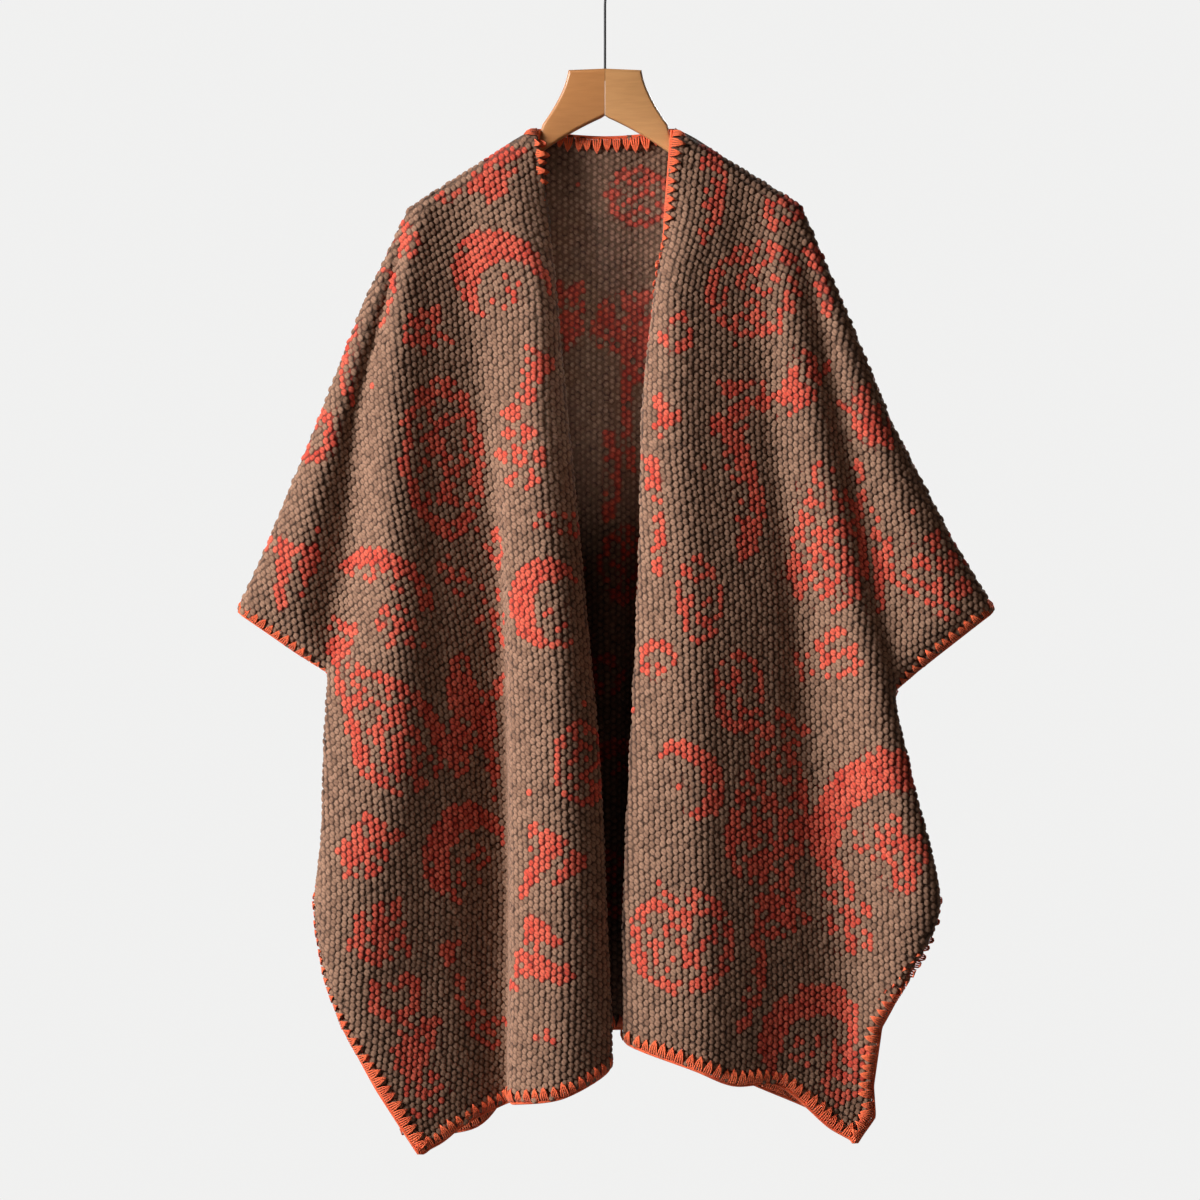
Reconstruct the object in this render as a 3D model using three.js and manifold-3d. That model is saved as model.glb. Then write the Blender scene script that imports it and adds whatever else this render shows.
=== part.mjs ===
// Open-front blanket cape of chunky wool on a wooden hanger.
// Millimetres, +Z up, +X to the viewer's right, fronts towards -Y.
// The origin is the inside of the hook's crown, where the hanger hangs on its rail.
// Heights on the garment are given as a fall below the high shoulder point.

import * as THREE from 'three';
import Module from 'manifold-3d';

// ---------- driving dimensions ----------
const CLOTH_WALL = 5; // thickness of the woven cloth
const SEAM_HALF_GAP = 0.15; // each panel stops this far from the shoulder plane
const HIGH_SHOULDER = -175; // height of the high shoulder point
const SHOULDER_ROLL = 10.5; // radius at which the cloth turns over the hanger arm
const SHOULDER_DIP = 4.7; // cloth's mid surface below its own outline on the arm

const HEAD_TOP = -119; // top of the wooden head
const WOOD_THICK = 14; // thickness of the hanger's boards
const WOOD_EDGE = 3; // rounding along the boards' edges
const MITRE_HALF_GAP = 0.15;
const WIRE_RADIUS = 1.2;
const HOOK_INSIDE_RADIUS = 17;
const WIRE_SEAT = 12; // how deep the wire stands in the head
const WIRE_CLEARANCE = 0.3;
const WIRE_SIDES = 12;
const HOOK_NECK = 3.1; // the stem is straight up to this many inside radii below the crown
const HOOK_PULLS = [2.4, 1.9]; // its swing's two pulls, in inside radii below the crown
const HOOK_TURN = 212; // degrees of the round part

// ---------- colours ----------
const BROWN_WOOL = 0x7c6656;
const WARM_WOOD = 0xbe8350;
const PALE_WOOD = 0xc9925c;
const BLACK_WIRE = 0x1a1a1c;

// ---------- the fold lines of the panels ----------
// Each front is read across from its front edge to its outer edge along these lines, which run
// from the shoulder down to the hem. The front edge is turned in behind a roll, and a column
// stands beside it with its crest and side. The column's foot and a slope follow: the right
// front is deepest at the foot, the left front at the slope. Then come the outer ridge, the fold
// outside it, the sleeve's belly and the outer edge.
const FRONT_LINES = [
  'edge', 'roll', 'crest', 'side', 'foot', 'slope', 'ridge', 'fold', 'sleeve', 'outer',
];
// the places of the mesh's columns from each line to the next, as shares
const FRONT_SPLITS = {
  edge: [0.34, 0.67, 1],
  roll: [0.25, 0.5, 0.75, 1],
  crest: [0.33, 0.67, 1],
  side: [0.5, 1],
  foot: [0.25, 0.5, 0.75, 1],
  slope: [0.33, 0.67, 1],
  ridge: [0.33, 0.67, 1],
  fold: [0.5, 1],
  sleeve: [0.4, 0.7, 0.9, 1],
};
// where each line starts, as a share of the arm from the neck to its tip
const FRONT_ARM_SHARES = {
  edge: 0, roll: 0.02, crest: 0.2, side: 0.4, foot: 0.6, slope: 0.75, ridge: 0.9,
  fold: 0.965, sleeve: 0.983, outer: 1,
};

// Each section gives [x, y] of every line at one fall: x from the centre line, y from the
// hanger's plane. hem gives the fall at which each line ends, and cuff the falls of its two ends.
const RIGHT_FRONT = {
  neck: { x: -67.5, fall: 0 },
  tip: { x: -194, fall: 80 },
  cuff: { top: 485, low: 547 },
  hem: {
    edge: 934, roll: 937, crest: 964, side: 972, foot: 974,
    slope: 995, ridge: 1011, fold: 1018, sleeve: 1021, outer: 1023,
  },
  sections: [
    { fall: 90, edge: [-73, -9], roll: [-59, -13], crest: [-84, -24], side: [-114, -20], foot: [-142, -13],
      slope: [-168, -14], ridge: [-184, -16], fold: [-193, -12], sleeve: [-195.5, -11], outer: [-197, -10] },
    { fall: 180, edge: [-82, 2], roll: [-51, -15], crest: [-66, -33], side: [-98, -25], foot: [-136, -13],
      slope: [-172, -19], ridge: [-203, -27], fold: [-219, -12], sleeve: [-229, -15], outer: [-239.5, -10] },
    { fall: 300, edge: [-80, 6], roll: [-39.5, -18], crest: [-63, -40], side: [-93, -28], foot: [-122, -10],
      slope: [-168, -22], ridge: [-210, -37], fold: [-250, -11], sleeve: [-266, -19], outer: [-286.5, -10] },
    { fall: 420, edge: [-74, 5], roll: [-28, -22], crest: [-55, -46], side: [-91, -32], foot: [-109, -8],
      slope: [-162, -23], ridge: [-210, -43], fold: [-257, -13], sleeve: [-298, -26], outer: [-335.5, -11] },
    { fall: 485, edge: [-70, 2], roll: [-22, -24], crest: [-48, -50], side: [-89, -35], foot: [-104, -6],
      slope: [-160, -24], ridge: [-208, -46], fold: [-267, -15], sleeve: [-309, -27], outer: [-365, -12] },
    { fall: 528, edge: [-67, 1], roll: [-18, -25], crest: [-45, -53], side: [-88, -36], foot: [-102, -4],
      slope: [-158, -25], ridge: [-208, -49], fold: [-270, -19], sleeve: [-290, -20], outer: [-303, -14] },
    { fall: 547, edge: [-66, 0], roll: [-16, -26], crest: [-44, -54], side: [-88, -36], foot: [-101, -4],
      slope: [-158, -26], ridge: [-209, -50], fold: [-272, -22], sleeve: [-273, -13], outer: [-272, -4] },
    { fall: 640, edge: [-58, -2], roll: [-8, -30], crest: [-41, -58], side: [-87, -38], foot: [-99, -2],
      slope: [-160, -30], ridge: [-213, -55], fold: [-277, -27], sleeve: [-262, -10], outer: [-232, -4] },
    { fall: 775, edge: [-50, -4], roll: [-2, -33], crest: [-38, -61], side: [-87, -40], foot: [-97, 0],
      slope: [-164, -30], ridge: [-236, -55], fold: [-278, -40], sleeve: [-285, -25], outer: [-286, -13] },
    { fall: 850, edge: [-46, -5], roll: [1.5, -34], crest: [-38, -62], side: [-87, -40], foot: [-97, -1],
      slope: [-166, -28], ridge: [-240, -51], fold: [-266, -46], sleeve: [-273, -38], outer: [-277, -29] },
    { fall: 900, edge: [-44, -6], roll: [3.5, -34], crest: [-39, -62], side: [-88, -40], foot: [-97, -2],
      slope: [-156, -26], ridge: [-212, -44], fold: [-244, -47], sleeve: [-252, -44], outer: [-258, -38] },
    { fall: 960, edge: [-43, -7], roll: [4, -34], crest: [-41, -62], side: [-89, -40], foot: [-97, -4],
      slope: [-146, -24], ridge: [-182, -36], fold: [-209, -42], sleeve: [-217, -42], outer: [-224, -41] },
    { fall: 1030, edge: [-42, -8], roll: [4.5, -34], crest: [-42, -62], side: [-90, -40], foot: [-98, -6],
      slope: [-137, -23], ridge: [-156, -31], fold: [-169, -35], sleeve: [-174, -36], outer: [-179, -37] },
  ],
};

const LEFT_FRONT = {
  neck: { x: 69, fall: 0 },
  tip: { x: 193, fall: 76 },
  cuff: { top: 484, low: 563 },
  hem: {
    edge: 908, roll: 911, crest: 938, side: 953, foot: 955,
    slope: 999, ridge: 1007, fold: 1011, sleeve: 1014, outer: 1016,
  },
  sections: [
    { fall: 90, edge: [62, -14], roll: [66, -18], crest: [86, -24], side: [114, -20], foot: [140, -14],
      slope: [158, -13], ridge: [176, -14], fold: [192, -12], sleeve: [195, -11], outer: [197.5, -10] },
    { fall: 180, edge: [57, -5], roll: [51, -15], crest: [67, -31], side: [102, -25], foot: [146, -14],
      slope: [164, -15], ridge: [187, -20], fold: [211, -10], sleeve: [226, -14], outer: [236.5, -10] },
    { fall: 300, edge: [62, 4], roll: [39.5, -18], crest: [67, -38], side: [106, -30], foot: [146, -18],
      slope: [170, -13], ridge: [210, -26], fold: [236, -12], sleeve: [266, -20], outer: [285.5, -10] },
    { fall: 420, edge: [70, 5], roll: [37, -22], crest: [76, -44], side: [114, -36], foot: [156, -22],
      slope: [187, -12], ridge: [236, -28], fold: [262, -14], sleeve: [316, -24], outer: [348, -11] },
    { fall: 484, edge: [72, 4], roll: [34.5, -24], crest: [80, -48], side: [118, -39], foot: [162, -23],
      slope: [196, -10], ridge: [250, -29], fold: [275, -16], sleeve: [340, -25], outer: [387, -12] },
    { fall: 528, edge: [73, 3], roll: [33, -25], crest: [81, -51], side: [119, -42], foot: [164, -24],
      slope: [201, -9], ridge: [263, -32], fold: [285, -19], sleeve: [308, -20], outer: [330, -15] },
    { fall: 563, edge: [74, 2], roll: [31, -27], crest: [82, -53], side: [120, -43], foot: [165, -25],
      slope: [204, -9], ridge: [269, -34], fold: [284, -25], sleeve: [286, -14], outer: [288, -4] },
    { fall: 640, edge: [72, 0], roll: [27, -30], crest: [85, -57], side: [122, -46], foot: [167, -26],
      slope: [212, -8], ridge: [286, -37], fold: [300, -29], sleeve: [284, -10], outer: [254, -4] },
    { fall: 775, edge: [66, -3], roll: [21, -33], crest: [89, -60], side: [125, -49], foot: [172, -27],
      slope: [231, -7], ridge: [312, -35], fold: [327, -31], sleeve: [330, -22], outer: [329, -14] },
    { fall: 850, edge: [64, -5], roll: [20.5, -34], crest: [92, -61], side: [127, -50], foot: [175, -27],
      slope: [238, -5], ridge: [286, -22], fold: [298, -24], sleeve: [300, -22], outer: [301, -19] },
    { fall: 900, edge: [62, -6], roll: [20.5, -34], crest: [93, -61], side: [128, -50], foot: [176, -27],
      slope: [241, -5], ridge: [258, -11], fold: [267, -15], sleeve: [270, -16], outer: [273, -16] },
    { fall: 960, edge: [61, -7], roll: [19.5, -34], crest: [90, -60], side: [127, -49], foot: [172, -28],
      slope: [232, -10], ridge: [249, -9], fold: [259, -9], sleeve: [262, -9], outer: [265, -9] },
    { fall: 990, edge: [60, -8], roll: [18.5, -34], crest: [88, -60], side: [126, -49], foot: [170, -28],
      slope: [228, -13], ridge: [246, -10], fold: [257, -9], sleeve: [262, -9], outer: [267, -9] },
    { fall: 1030, edge: [60, -8], roll: [18, -34], crest: [86, -60], side: [124, -48], foot: [168, -28],
      slope: [214, -17], ridge: [226, -14], fold: [232, -13], sleeve: [236, -13], outer: [240, -12] },
  ],
};

// The back hangs between the same sleeve outlines. Its own folds are an outer ridge, a trough and
// a column on each side, and a shallow pleat down the centre.
const BACK_LINES = ['outer', 'sleeve', 'fold', 'ridge', 'trough', 'neck', 'column'];
const BACK_SPLITS = {
  outer: [0.1, 0.3, 0.6, 1],
  sleeve: [0.5, 1],
  fold: [0.33, 0.67, 1],
  ridge: [0.33, 0.67, 1],
  trough: [0.5, 1],
  neck: [0.2, 0.55, 1],
  column: [0.5, 1],
};
const BACK_ARM_SHARES = { outer: 1, sleeve: 0.983, fold: 0.965, ridge: 0.85, trough: 0.5, neck: 0.035 };
const NECK_EDGE = { column: { x: 36, fall: 12 }, centre: { x: 1, fall: 14 } };
const BACK_INSET = 3; // the back's free edges lie this far inside the fronts'
const BACK_FLATTER = 0.92; // its sleeves are a little flatter than the fronts'
const BACK_REST = 1.5; // and lie this much further back
const BACK_FOLDS = [
  { fall: 90, ridge: [176, 15], trough: [142, 13], neck: [84, 17], column: [40, 22], centre: [1, 19] },
  { fall: 300, ridge: [206, 36], trough: [150, 15], neck: [92, 28], column: [37, 36], centre: [1, 24] },
  { fall: 547, ridge: [236, 50], trough: [142, 20], neck: [94, 38], column: [35, 47], centre: [2, 27] },
  { fall: 775, ridge: [248, 54], trough: [138, 20], neck: [96, 46], column: [37, 54], centre: [3, 29] },
  { fall: 1030, ridge: [196, 46], trough: [128, 22], neck: [88, 48], column: [38, 57], centre: [3, 30] },
];
const BACK_HEM = {
  right: { outer: 1020, sleeve: 1019, fold: 1017, ridge: 1013, trough: 1001, neck: 958, column: 912 },
  left: { outer: 1011, sleeve: 1009, fold: 1004, ridge: 985, trough: 950, neck: 925, column: 908 },
  centre: 904,
};

// The rows of each panel's mesh, as falls of its outer edge. The first lie close together, where
// the cloth turns over the arm, and those by the cuff pass through its two ends.
const TURN_ROWS = [0, 2, 6, 13];
const UPPER_ROWS = [112, 148, 190, 240, 290, 340, 390, 440];
const CUFF_SHARES = [0, 0.3, 0.62, 0.84, 1];
const LOWER_ROWS = [590, 640, 690, 740, 785, 830, 870, 910, 950, 990];

// ---------- interpolation ----------
// A smooth curve through the stations that never overshoots them.
function easedThrough(stations, values, at) {
  const last = stations.length - 1;
  if (at <= stations[0]) return values[0];
  if (at >= stations[last]) return values[last];
  const slope = (i) => (values[i + 1] - values[i]) / (stations[i + 1] - stations[i]);
  const tangent = (i) => {
    if (i === 0) return slope(0);
    if (i === last) return slope(last - 1);
    const before = slope(i - 1);
    const after = slope(i);
    return before * after <= 0 ? 0 : (2 * before * after) / (before + after);
  };
  let i = 0;
  while (at > stations[i + 1]) i += 1;
  const span = stations[i + 1] - stations[i];
  const s = (at - stations[i]) / span;
  return values[i] * (1 + 2 * s) * (1 - s) ** 2 + tangent(i) * span * s * (1 - s) ** 2
    + values[i + 1] * s * s * (3 - 2 * s) - tangent(i + 1) * span * s * s * (1 - s);
}

function straightThrough(stations, values, at) {
  const last = stations.length - 1;
  if (at <= stations[0]) return values[0];
  if (at >= stations[last]) return values[last];
  let i = 0;
  while (at > stations[i + 1]) i += 1;
  return THREE.MathUtils.mapLinear(at, stations[i], stations[i + 1], values[i], values[i + 1]);
}

// ---------- the shape of one panel ----------
// Where a fold line starts on the hanger arm.
function startOnArm(half, share) {
  return {
    x: THREE.MathUtils.lerp(half.neck.x, half.tip.x, share),
    fall: THREE.MathUtils.lerp(half.neck.fall, half.tip.fall, share) + SHOULDER_DIP,
  };
}

// The place of a fold line at a fall, from its start and its table of sections.
function placeOnLine(start, sections, line, fall) {
  const stations = [start.fall, ...sections.map((row) => row.fall)];
  const across = [start.x, ...sections.map((row) => row[line][0])];
  const first = Math.sign(sections[0][line][1]) * SHOULDER_ROLL;
  const depths = [first, ...sections.map((row) => row[line][1])];
  const through = line === 'outer' ? straightThrough : easedThrough;
  return [through(stations, across, fall), easedThrough(stations, depths, fall)];
}

// The shoulder line of one half, from the neck over the arm's tip to the top of the cuff.
function shoulderLine(half, firstShare) {
  const neck = startOnArm(half, firstShare);
  const tip = startOnArm(half, 1);
  const points = [[neck.x, neck.fall], [tip.x, tip.fall]];
  for (const row of half.sections) {
    if (row.fall <= half.cuff.top) points.push([row.outer[0], row.fall]);
  }
  return points;
}

function distanceToLine(points, x, fall) {
  let least = Infinity;
  for (let i = 0; i + 1 < points.length; i += 1) {
    const [ax, af] = points[i];
    const [bx, bf] = points[i + 1];
    const along = ((x - ax) * (bx - ax) + (fall - af) * (bf - af)) / ((bx - ax) ** 2 + (bf - af) ** 2);
    const s = THREE.MathUtils.clamp(along, 0, 1);
    least = Math.min(least, Math.hypot(x - ax - s * (bx - ax), fall - af - s * (bf - af)));
  }
  return least;
}

// The share of its full depth that the cloth has near the shoulder line: a quarter circle.
function turnOver(distance) {
  const inside = 1 - Math.min(distance / SHOULDER_ROLL, 1);
  return Math.sqrt(1 - inside * inside);
}

function rowShares(half, hemFall) {
  const start = startOnArm(half, 1).fall;
  const { top, low } = half.cuff;
  const falls = [
    ...TURN_ROWS.map((drop) => start + drop),
    ...UPPER_ROWS,
    ...CUFF_SHARES.map((share) => THREE.MathUtils.lerp(top, low, share)),
    ...LOWER_ROWS,
    hemFall,
  ];
  return falls.map((fall) => (fall - start) / (hemFall - start));
}

// One row of points across the panel, through its fold lines.
function rowPoints(controls, lines, splits) {
  const curve = new THREE.CatmullRomCurve3(controls, false, 'centripetal');
  const spans = controls.length - 1;
  const points = [controls[0].clone()];
  for (let i = 0; i < spans; i += 1) {
    for (const share of splits[i]) points.push(curve.getPoint((i + share) / spans));
  }
  return points;
}

// A row's points become part of the mid surface: drawn in towards the shoulder line.
function settleRow(points, shoulders, side) {
  for (const point of points) {
    const fall = HIGH_SHOULDER - point.z;
    const distance = Math.min(...shoulders.map((line) => distanceToLine(line, point.x, fall)));
    point.y = point.y * turnOver(distance);
    point.onSeam = distance < 0.01;
    if (point.onSeam) point.y = side * SEAM_HALF_GAP;
  }
  return points;
}

function frontSurface(half) {
  const shoulders = [shoulderLine(half, 0)];
  const splits = FRONT_LINES.slice(0, -1).map((line) => FRONT_SPLITS[line]);
  return rowShares(half, half.hem.outer).map((share) => {
    const controls = FRONT_LINES.map((line) => {
      const start = startOnArm(half, FRONT_ARM_SHARES[line]);
      const fall = THREE.MathUtils.lerp(start.fall, half.hem[line], share);
      const [x, y] = placeOnLine(start, half.sections, line, fall);
      return new THREE.Vector3(x, y, HIGH_SHOULDER - fall);
    });
    return settleRow(rowPoints(controls, FRONT_LINES, splits), shoulders, -1);
  });
}

// The back's sections on one side: its own folds, and the sleeve and free edges of the front.
function backSections(half) {
  const side = Math.sign(half.neck.x);
  const stations = BACK_FOLDS.map((row) => row.fall);
  return half.sections.map((row) => {
    const section = { fall: row.fall };
    const inset = row.fall > half.cuff.top ? BACK_INSET : 0;
    for (const line of ['outer', 'sleeve', 'fold']) {
      section[line] = [row[line][0] - side * inset, BACK_REST - BACK_FLATTER * row[line][1]];
    }
    for (const line of ['ridge', 'trough', 'neck', 'column', 'centre']) {
      const across = easedThrough(stations, BACK_FOLDS.map((fold) => fold[line][0]), row.fall);
      const depth = easedThrough(stations, BACK_FOLDS.map((fold) => fold[line][1]), row.fall);
      section[line] = [side * across, depth];
    }
    return section;
  });
}

function backControls(half, hem, share) {
  const sections = backSections(half);
  const side = Math.sign(half.neck.x);
  return BACK_LINES.map((line) => {
    const start = line === 'column'
      ? { x: side * NECK_EDGE.column.x, fall: NECK_EDGE.column.fall }
      : startOnArm(half, BACK_ARM_SHARES[line]);
    const fall = THREE.MathUtils.lerp(start.fall, hem[line], share);
    const [x, y] = placeOnLine(start, sections, line, fall);
    return new THREE.Vector3(x, y, HIGH_SHOULDER - fall);
  });
}

function backSurface() {
  const halves = [RIGHT_FRONT, LEFT_FRONT];
  const shoulders = halves.map((half) => shoulderLine(half, BACK_ARM_SHARES.neck));
  const rightShares = rowShares(RIGHT_FRONT, BACK_HEM.right.outer);
  const leftShares = rowShares(LEFT_FRONT, BACK_HEM.left.outer);
  const splitsOut = BACK_LINES.map((line) => BACK_SPLITS[line]);
  const mirrored = (shares) => [...shares.slice(0, -1).reverse().map((share) => 1 - share), 1];
  const splitsIn = [...splitsOut].reverse().map(mirrored);
  const centreSections = backSections(RIGHT_FRONT).map(({ fall, centre: [x, y] }) => (
    { fall, centre: [-x, y] }
  ));
  return rightShares.map((rightShare, i) => {
    const leftShare = leftShares[i];
    const middleShare = (rightShare + leftShare) / 2;
    const fall = THREE.MathUtils.lerp(NECK_EDGE.centre.fall, BACK_HEM.centre, middleShare);
    const [x, y] = placeOnLine(NECK_EDGE.centre, centreSections, 'centre', fall);
    const controls = [
      ...backControls(RIGHT_FRONT, BACK_HEM.right, rightShare),
      new THREE.Vector3(x, y, HIGH_SHOULDER - fall),
      ...backControls(LEFT_FRONT, BACK_HEM.left, leftShare).reverse(),
    ];
    return settleRow(rowPoints(controls, BACK_LINES, [...splitsOut, ...splitsIn]), shoulders, 1);
  });
}

// ---------- cloth walls ----------
function surfaceNormal(rows, i, j) {
  const down = rows[Math.min(i + 1, rows.length - 1)][j].clone().sub(rows[Math.max(i - 1, 0)][j]);
  const row = rows[i];
  const across = row[Math.min(j + 1, row.length - 1)].clone().sub(row[Math.max(j - 1, 0)]);
  const normal = across.cross(down);
  if (row[j].onSeam) normal.y = 0;
  return normal.normalize();
}

// A closed wall of even thickness about a grid of points.
function wallGeometry(rows) {
  const down = rows.length;
  const across = rows[0].length;
  const positions = [];
  for (const side of [1, -1]) {
    for (let i = 0; i < down; i += 1) {
      for (let j = 0; j < across; j += 1) {
        const offset = surfaceNormal(rows, i, j).multiplyScalar((side * CLOTH_WALL) / 2);
        positions.push(...rows[i][j].clone().add(offset).toArray());
      }
    }
  }
  const face = (i, j) => i * across + j;
  const back = down * across;
  const index = [];
  const quad = (a, b, c, d) => index.push(a, b, c, a, c, d);
  for (let i = 0; i + 1 < down; i += 1) {
    for (let j = 0; j + 1 < across; j += 1) {
      const [a, b, c, d] = [face(i, j), face(i, j + 1), face(i + 1, j + 1), face(i + 1, j)];
      quad(a, b, c, d);
      quad(back + d, back + c, back + b, back + a);
    }
  }
  for (let j = 0; j + 1 < across; j += 1) {
    quad(face(0, j + 1), face(0, j), back + face(0, j), back + face(0, j + 1));
    const [hem, nextHem] = [face(down - 1, j), face(down - 1, j + 1)];
    quad(hem, nextHem, back + nextHem, back + hem);
  }
  for (let i = 0; i + 1 < down; i += 1) {
    quad(face(i, 0), face(i + 1, 0), back + face(i + 1, 0), back + face(i, 0));
    const [outer, nextOuter] = [face(i, across - 1), face(i + 1, across - 1)];
    quad(nextOuter, outer, back + outer, back + nextOuter);
  }
  const geometry = new THREE.BufferGeometry();
  geometry.setAttribute('position', new THREE.Float32BufferAttribute(positions, 3));
  geometry.setIndex(index);
  geometry.computeVertexNormals();
  return geometry;
}

function panel(name, rows) {
  const material = new THREE.MeshStandardMaterial({ color: BROWN_WOOL, roughness: 0.95, metalness: 0 });
  const mesh = new THREE.Mesh(wallGeometry(rows), material);
  mesh.name = name;
  return mesh;
}

// ---------- cutting solids ----------
const wasm = await Module();
wasm.setup();

function solidOf(geometry) {
  const places = new Map();
  const vertices = [];
  const triangles = [];
  const position = geometry.attributes.position;
  const count = geometry.index ? geometry.index.count : position.count;
  for (let i = 0; i < count; i += 1) {
    const at = geometry.index ? geometry.index.getX(i) : i;
    const point = [position.getX(at), position.getY(at), position.getZ(at)];
    const key = point.map((value) => Math.round(value * 1e4)).join();
    if (!places.has(key)) {
      places.set(key, vertices.length / 3);
      vertices.push(...point);
    }
    triangles.push(places.get(key));
  }
  return new wasm.Manifold(new wasm.Mesh({
    numProp: 3,
    vertProperties: new Float32Array(vertices),
    triVerts: new Uint32Array(triangles),
  }));
}

function geometryOf(solid) {
  const mesh = solid.getMesh();
  const geometry = new THREE.BufferGeometry();
  geometry.setAttribute('position', new THREE.BufferAttribute(new Float32Array(mesh.vertProperties), 3));
  geometry.setIndex(new THREE.BufferAttribute(new Uint32Array(mesh.triVerts), 1));
  geometry.computeVertexNormals();
  return geometry;
}

// ---------- hanger ----------
const HALF_SPACE = 220; // size of the block that keeps one side's half of a board

// The front view of one board, with side 1 to the viewer's right: a flared head, a long arm under
// the shoulder with a round tip, and an underside that rises to the middle.
function boardShape(side) {
  const at = (x, z) => [side * x, z];
  const shape = new THREE.Shape();
  shape.moveTo(...at(-8, HEAD_TOP));
  shape.lineTo(...at(36.5, HEAD_TOP - 1.5));
  shape.quadraticCurveTo(...at(39.5, HEAD_TOP - 24), ...at(62.5, HEAD_TOP - 56));
  shape.lineTo(...at(66, HEAD_TOP - 69));
  shape.lineTo(...at(184, HEAD_TOP - 141));
  shape.quadraticCurveTo(...at(192, HEAD_TOP - 147), ...at(188, HEAD_TOP - 154));
  shape.quadraticCurveTo(...at(183, HEAD_TOP - 160), ...at(174, HEAD_TOP - 155));
  shape.lineTo(...at(63, HEAD_TOP - 83));
  shape.quadraticCurveTo(...at(28, HEAD_TOP - 58), ...at(-8, HEAD_TOP - 44));
  shape.closePath();
  return shape;
}

function board(name, side, color) {
  const geometry = new THREE.ExtrudeGeometry(boardShape(side), {
    depth: WOOD_THICK - 2 * WOOD_EDGE,
    curveSegments: 6,
    bevelThickness: WOOD_EDGE,
    bevelSize: WOOD_EDGE,
    bevelOffset: -WOOD_EDGE,
    bevelSegments: 2,
  });
  geometry.translate(0, 0, WOOD_EDGE - WOOD_THICK / 2).rotateX(Math.PI / 2);
  const half = new THREE.BoxGeometry(2 * HALF_SPACE, HALF_SPACE, 2 * HALF_SPACE);
  half.translate(side * (HALF_SPACE + MITRE_HALF_GAP), 0, HEAD_TOP);
  const seatRadius = WIRE_RADIUS + WIRE_CLEARANCE;
  const seat = new THREE.CylinderGeometry(seatRadius, seatRadius, 2 * WIRE_SEAT, WIRE_SIDES);
  seat.rotateX(Math.PI / 2).translate(0, 0, HEAD_TOP);
  const cut = solidOf(geometry).intersect(solidOf(half)).subtract(solidOf(seat));
  const material = new THREE.MeshStandardMaterial({ color, roughness: 0.45, metalness: 0 });
  const mesh = new THREE.Mesh(geometryOf(cut), material);
  mesh.name = name;
  return mesh;
}

// The wire stands in the head, rises straight, swings to one side and turns over the crown.
function hook() {
  const bend = HOOK_INSIDE_RADIUS + WIRE_RADIUS;
  const path = new THREE.CurvePath();
  const foot = new THREE.Vector3(0, 0, HEAD_TOP - WIRE_SEAT + WIRE_CLEARANCE);
  const neck = new THREE.Vector3(0, 0, -HOOK_NECK * HOOK_INSIDE_RADIUS);
  const flank = new THREE.Vector3(bend, 0, -HOOK_INSIDE_RADIUS);
  path.add(new THREE.LineCurve3(foot, neck));
  path.add(new THREE.CubicBezierCurve3(
    neck,
    new THREE.Vector3(0, 0, -HOOK_PULLS[0] * HOOK_INSIDE_RADIUS),
    new THREE.Vector3(bend, 0, -HOOK_PULLS[1] * HOOK_INSIDE_RADIUS),
    flank,
  ));
  const turns = 14;
  const sweep = THREE.MathUtils.degToRad(HOOK_TURN);
  const points = [];
  for (let i = 0; i <= turns; i += 1) {
    const angle = (sweep * i) / turns;
    const height = bend * Math.sin(angle) - HOOK_INSIDE_RADIUS;
    points.push(new THREE.Vector3(bend * Math.cos(angle), 0, height));
  }
  path.add(new THREE.CatmullRomCurve3(points));
  const section = new THREE.Shape();
  section.absarc(0, 0, WIRE_RADIUS, 0, 2 * Math.PI);
  const geometry = new THREE.ExtrudeGeometry(section, {
    steps: 44,
    extrudePath: path,
    bevelEnabled: false,
    curveSegments: 4,
  });
  const material = new THREE.MeshStandardMaterial({ color: BLACK_WIRE, roughness: 0.4, metalness: 0.8 });
  const mesh = new THREE.Mesh(geometry, material);
  mesh.name = 'hanger_hook';
  return mesh;
}

// ---------- the whole object ----------
const cape = new THREE.Group();
cape.add(panel('back', backSurface()));
cape.add(panel('right_front', frontSurface(RIGHT_FRONT)));
cape.add(panel('left_front', frontSurface(LEFT_FRONT)));
cape.add(board('hanger_arm_right', -1, WARM_WOOD));
cape.add(board('hanger_arm_left', 1, PALE_WOOD));
cape.add(hook());

export default cape;
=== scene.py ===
import math

import bmesh
import bpy
import numpy as np
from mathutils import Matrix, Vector


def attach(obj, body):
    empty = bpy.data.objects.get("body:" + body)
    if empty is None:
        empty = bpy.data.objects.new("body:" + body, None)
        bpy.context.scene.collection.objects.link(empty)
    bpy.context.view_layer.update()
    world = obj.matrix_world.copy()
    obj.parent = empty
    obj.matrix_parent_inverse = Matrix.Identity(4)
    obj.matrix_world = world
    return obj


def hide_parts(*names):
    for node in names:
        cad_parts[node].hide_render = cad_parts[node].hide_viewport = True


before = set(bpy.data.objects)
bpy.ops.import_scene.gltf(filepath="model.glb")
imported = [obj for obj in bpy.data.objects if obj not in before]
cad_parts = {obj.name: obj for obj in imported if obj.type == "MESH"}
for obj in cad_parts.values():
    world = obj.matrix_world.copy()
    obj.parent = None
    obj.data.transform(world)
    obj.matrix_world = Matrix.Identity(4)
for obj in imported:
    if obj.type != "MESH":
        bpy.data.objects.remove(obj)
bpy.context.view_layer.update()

# ---------------------------------------------------------------- hook
# Black lacquered steel wire, screwed into the head. It rises straight, leans to one side and
# turns back over the crown, which hangs on the rail.


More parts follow.
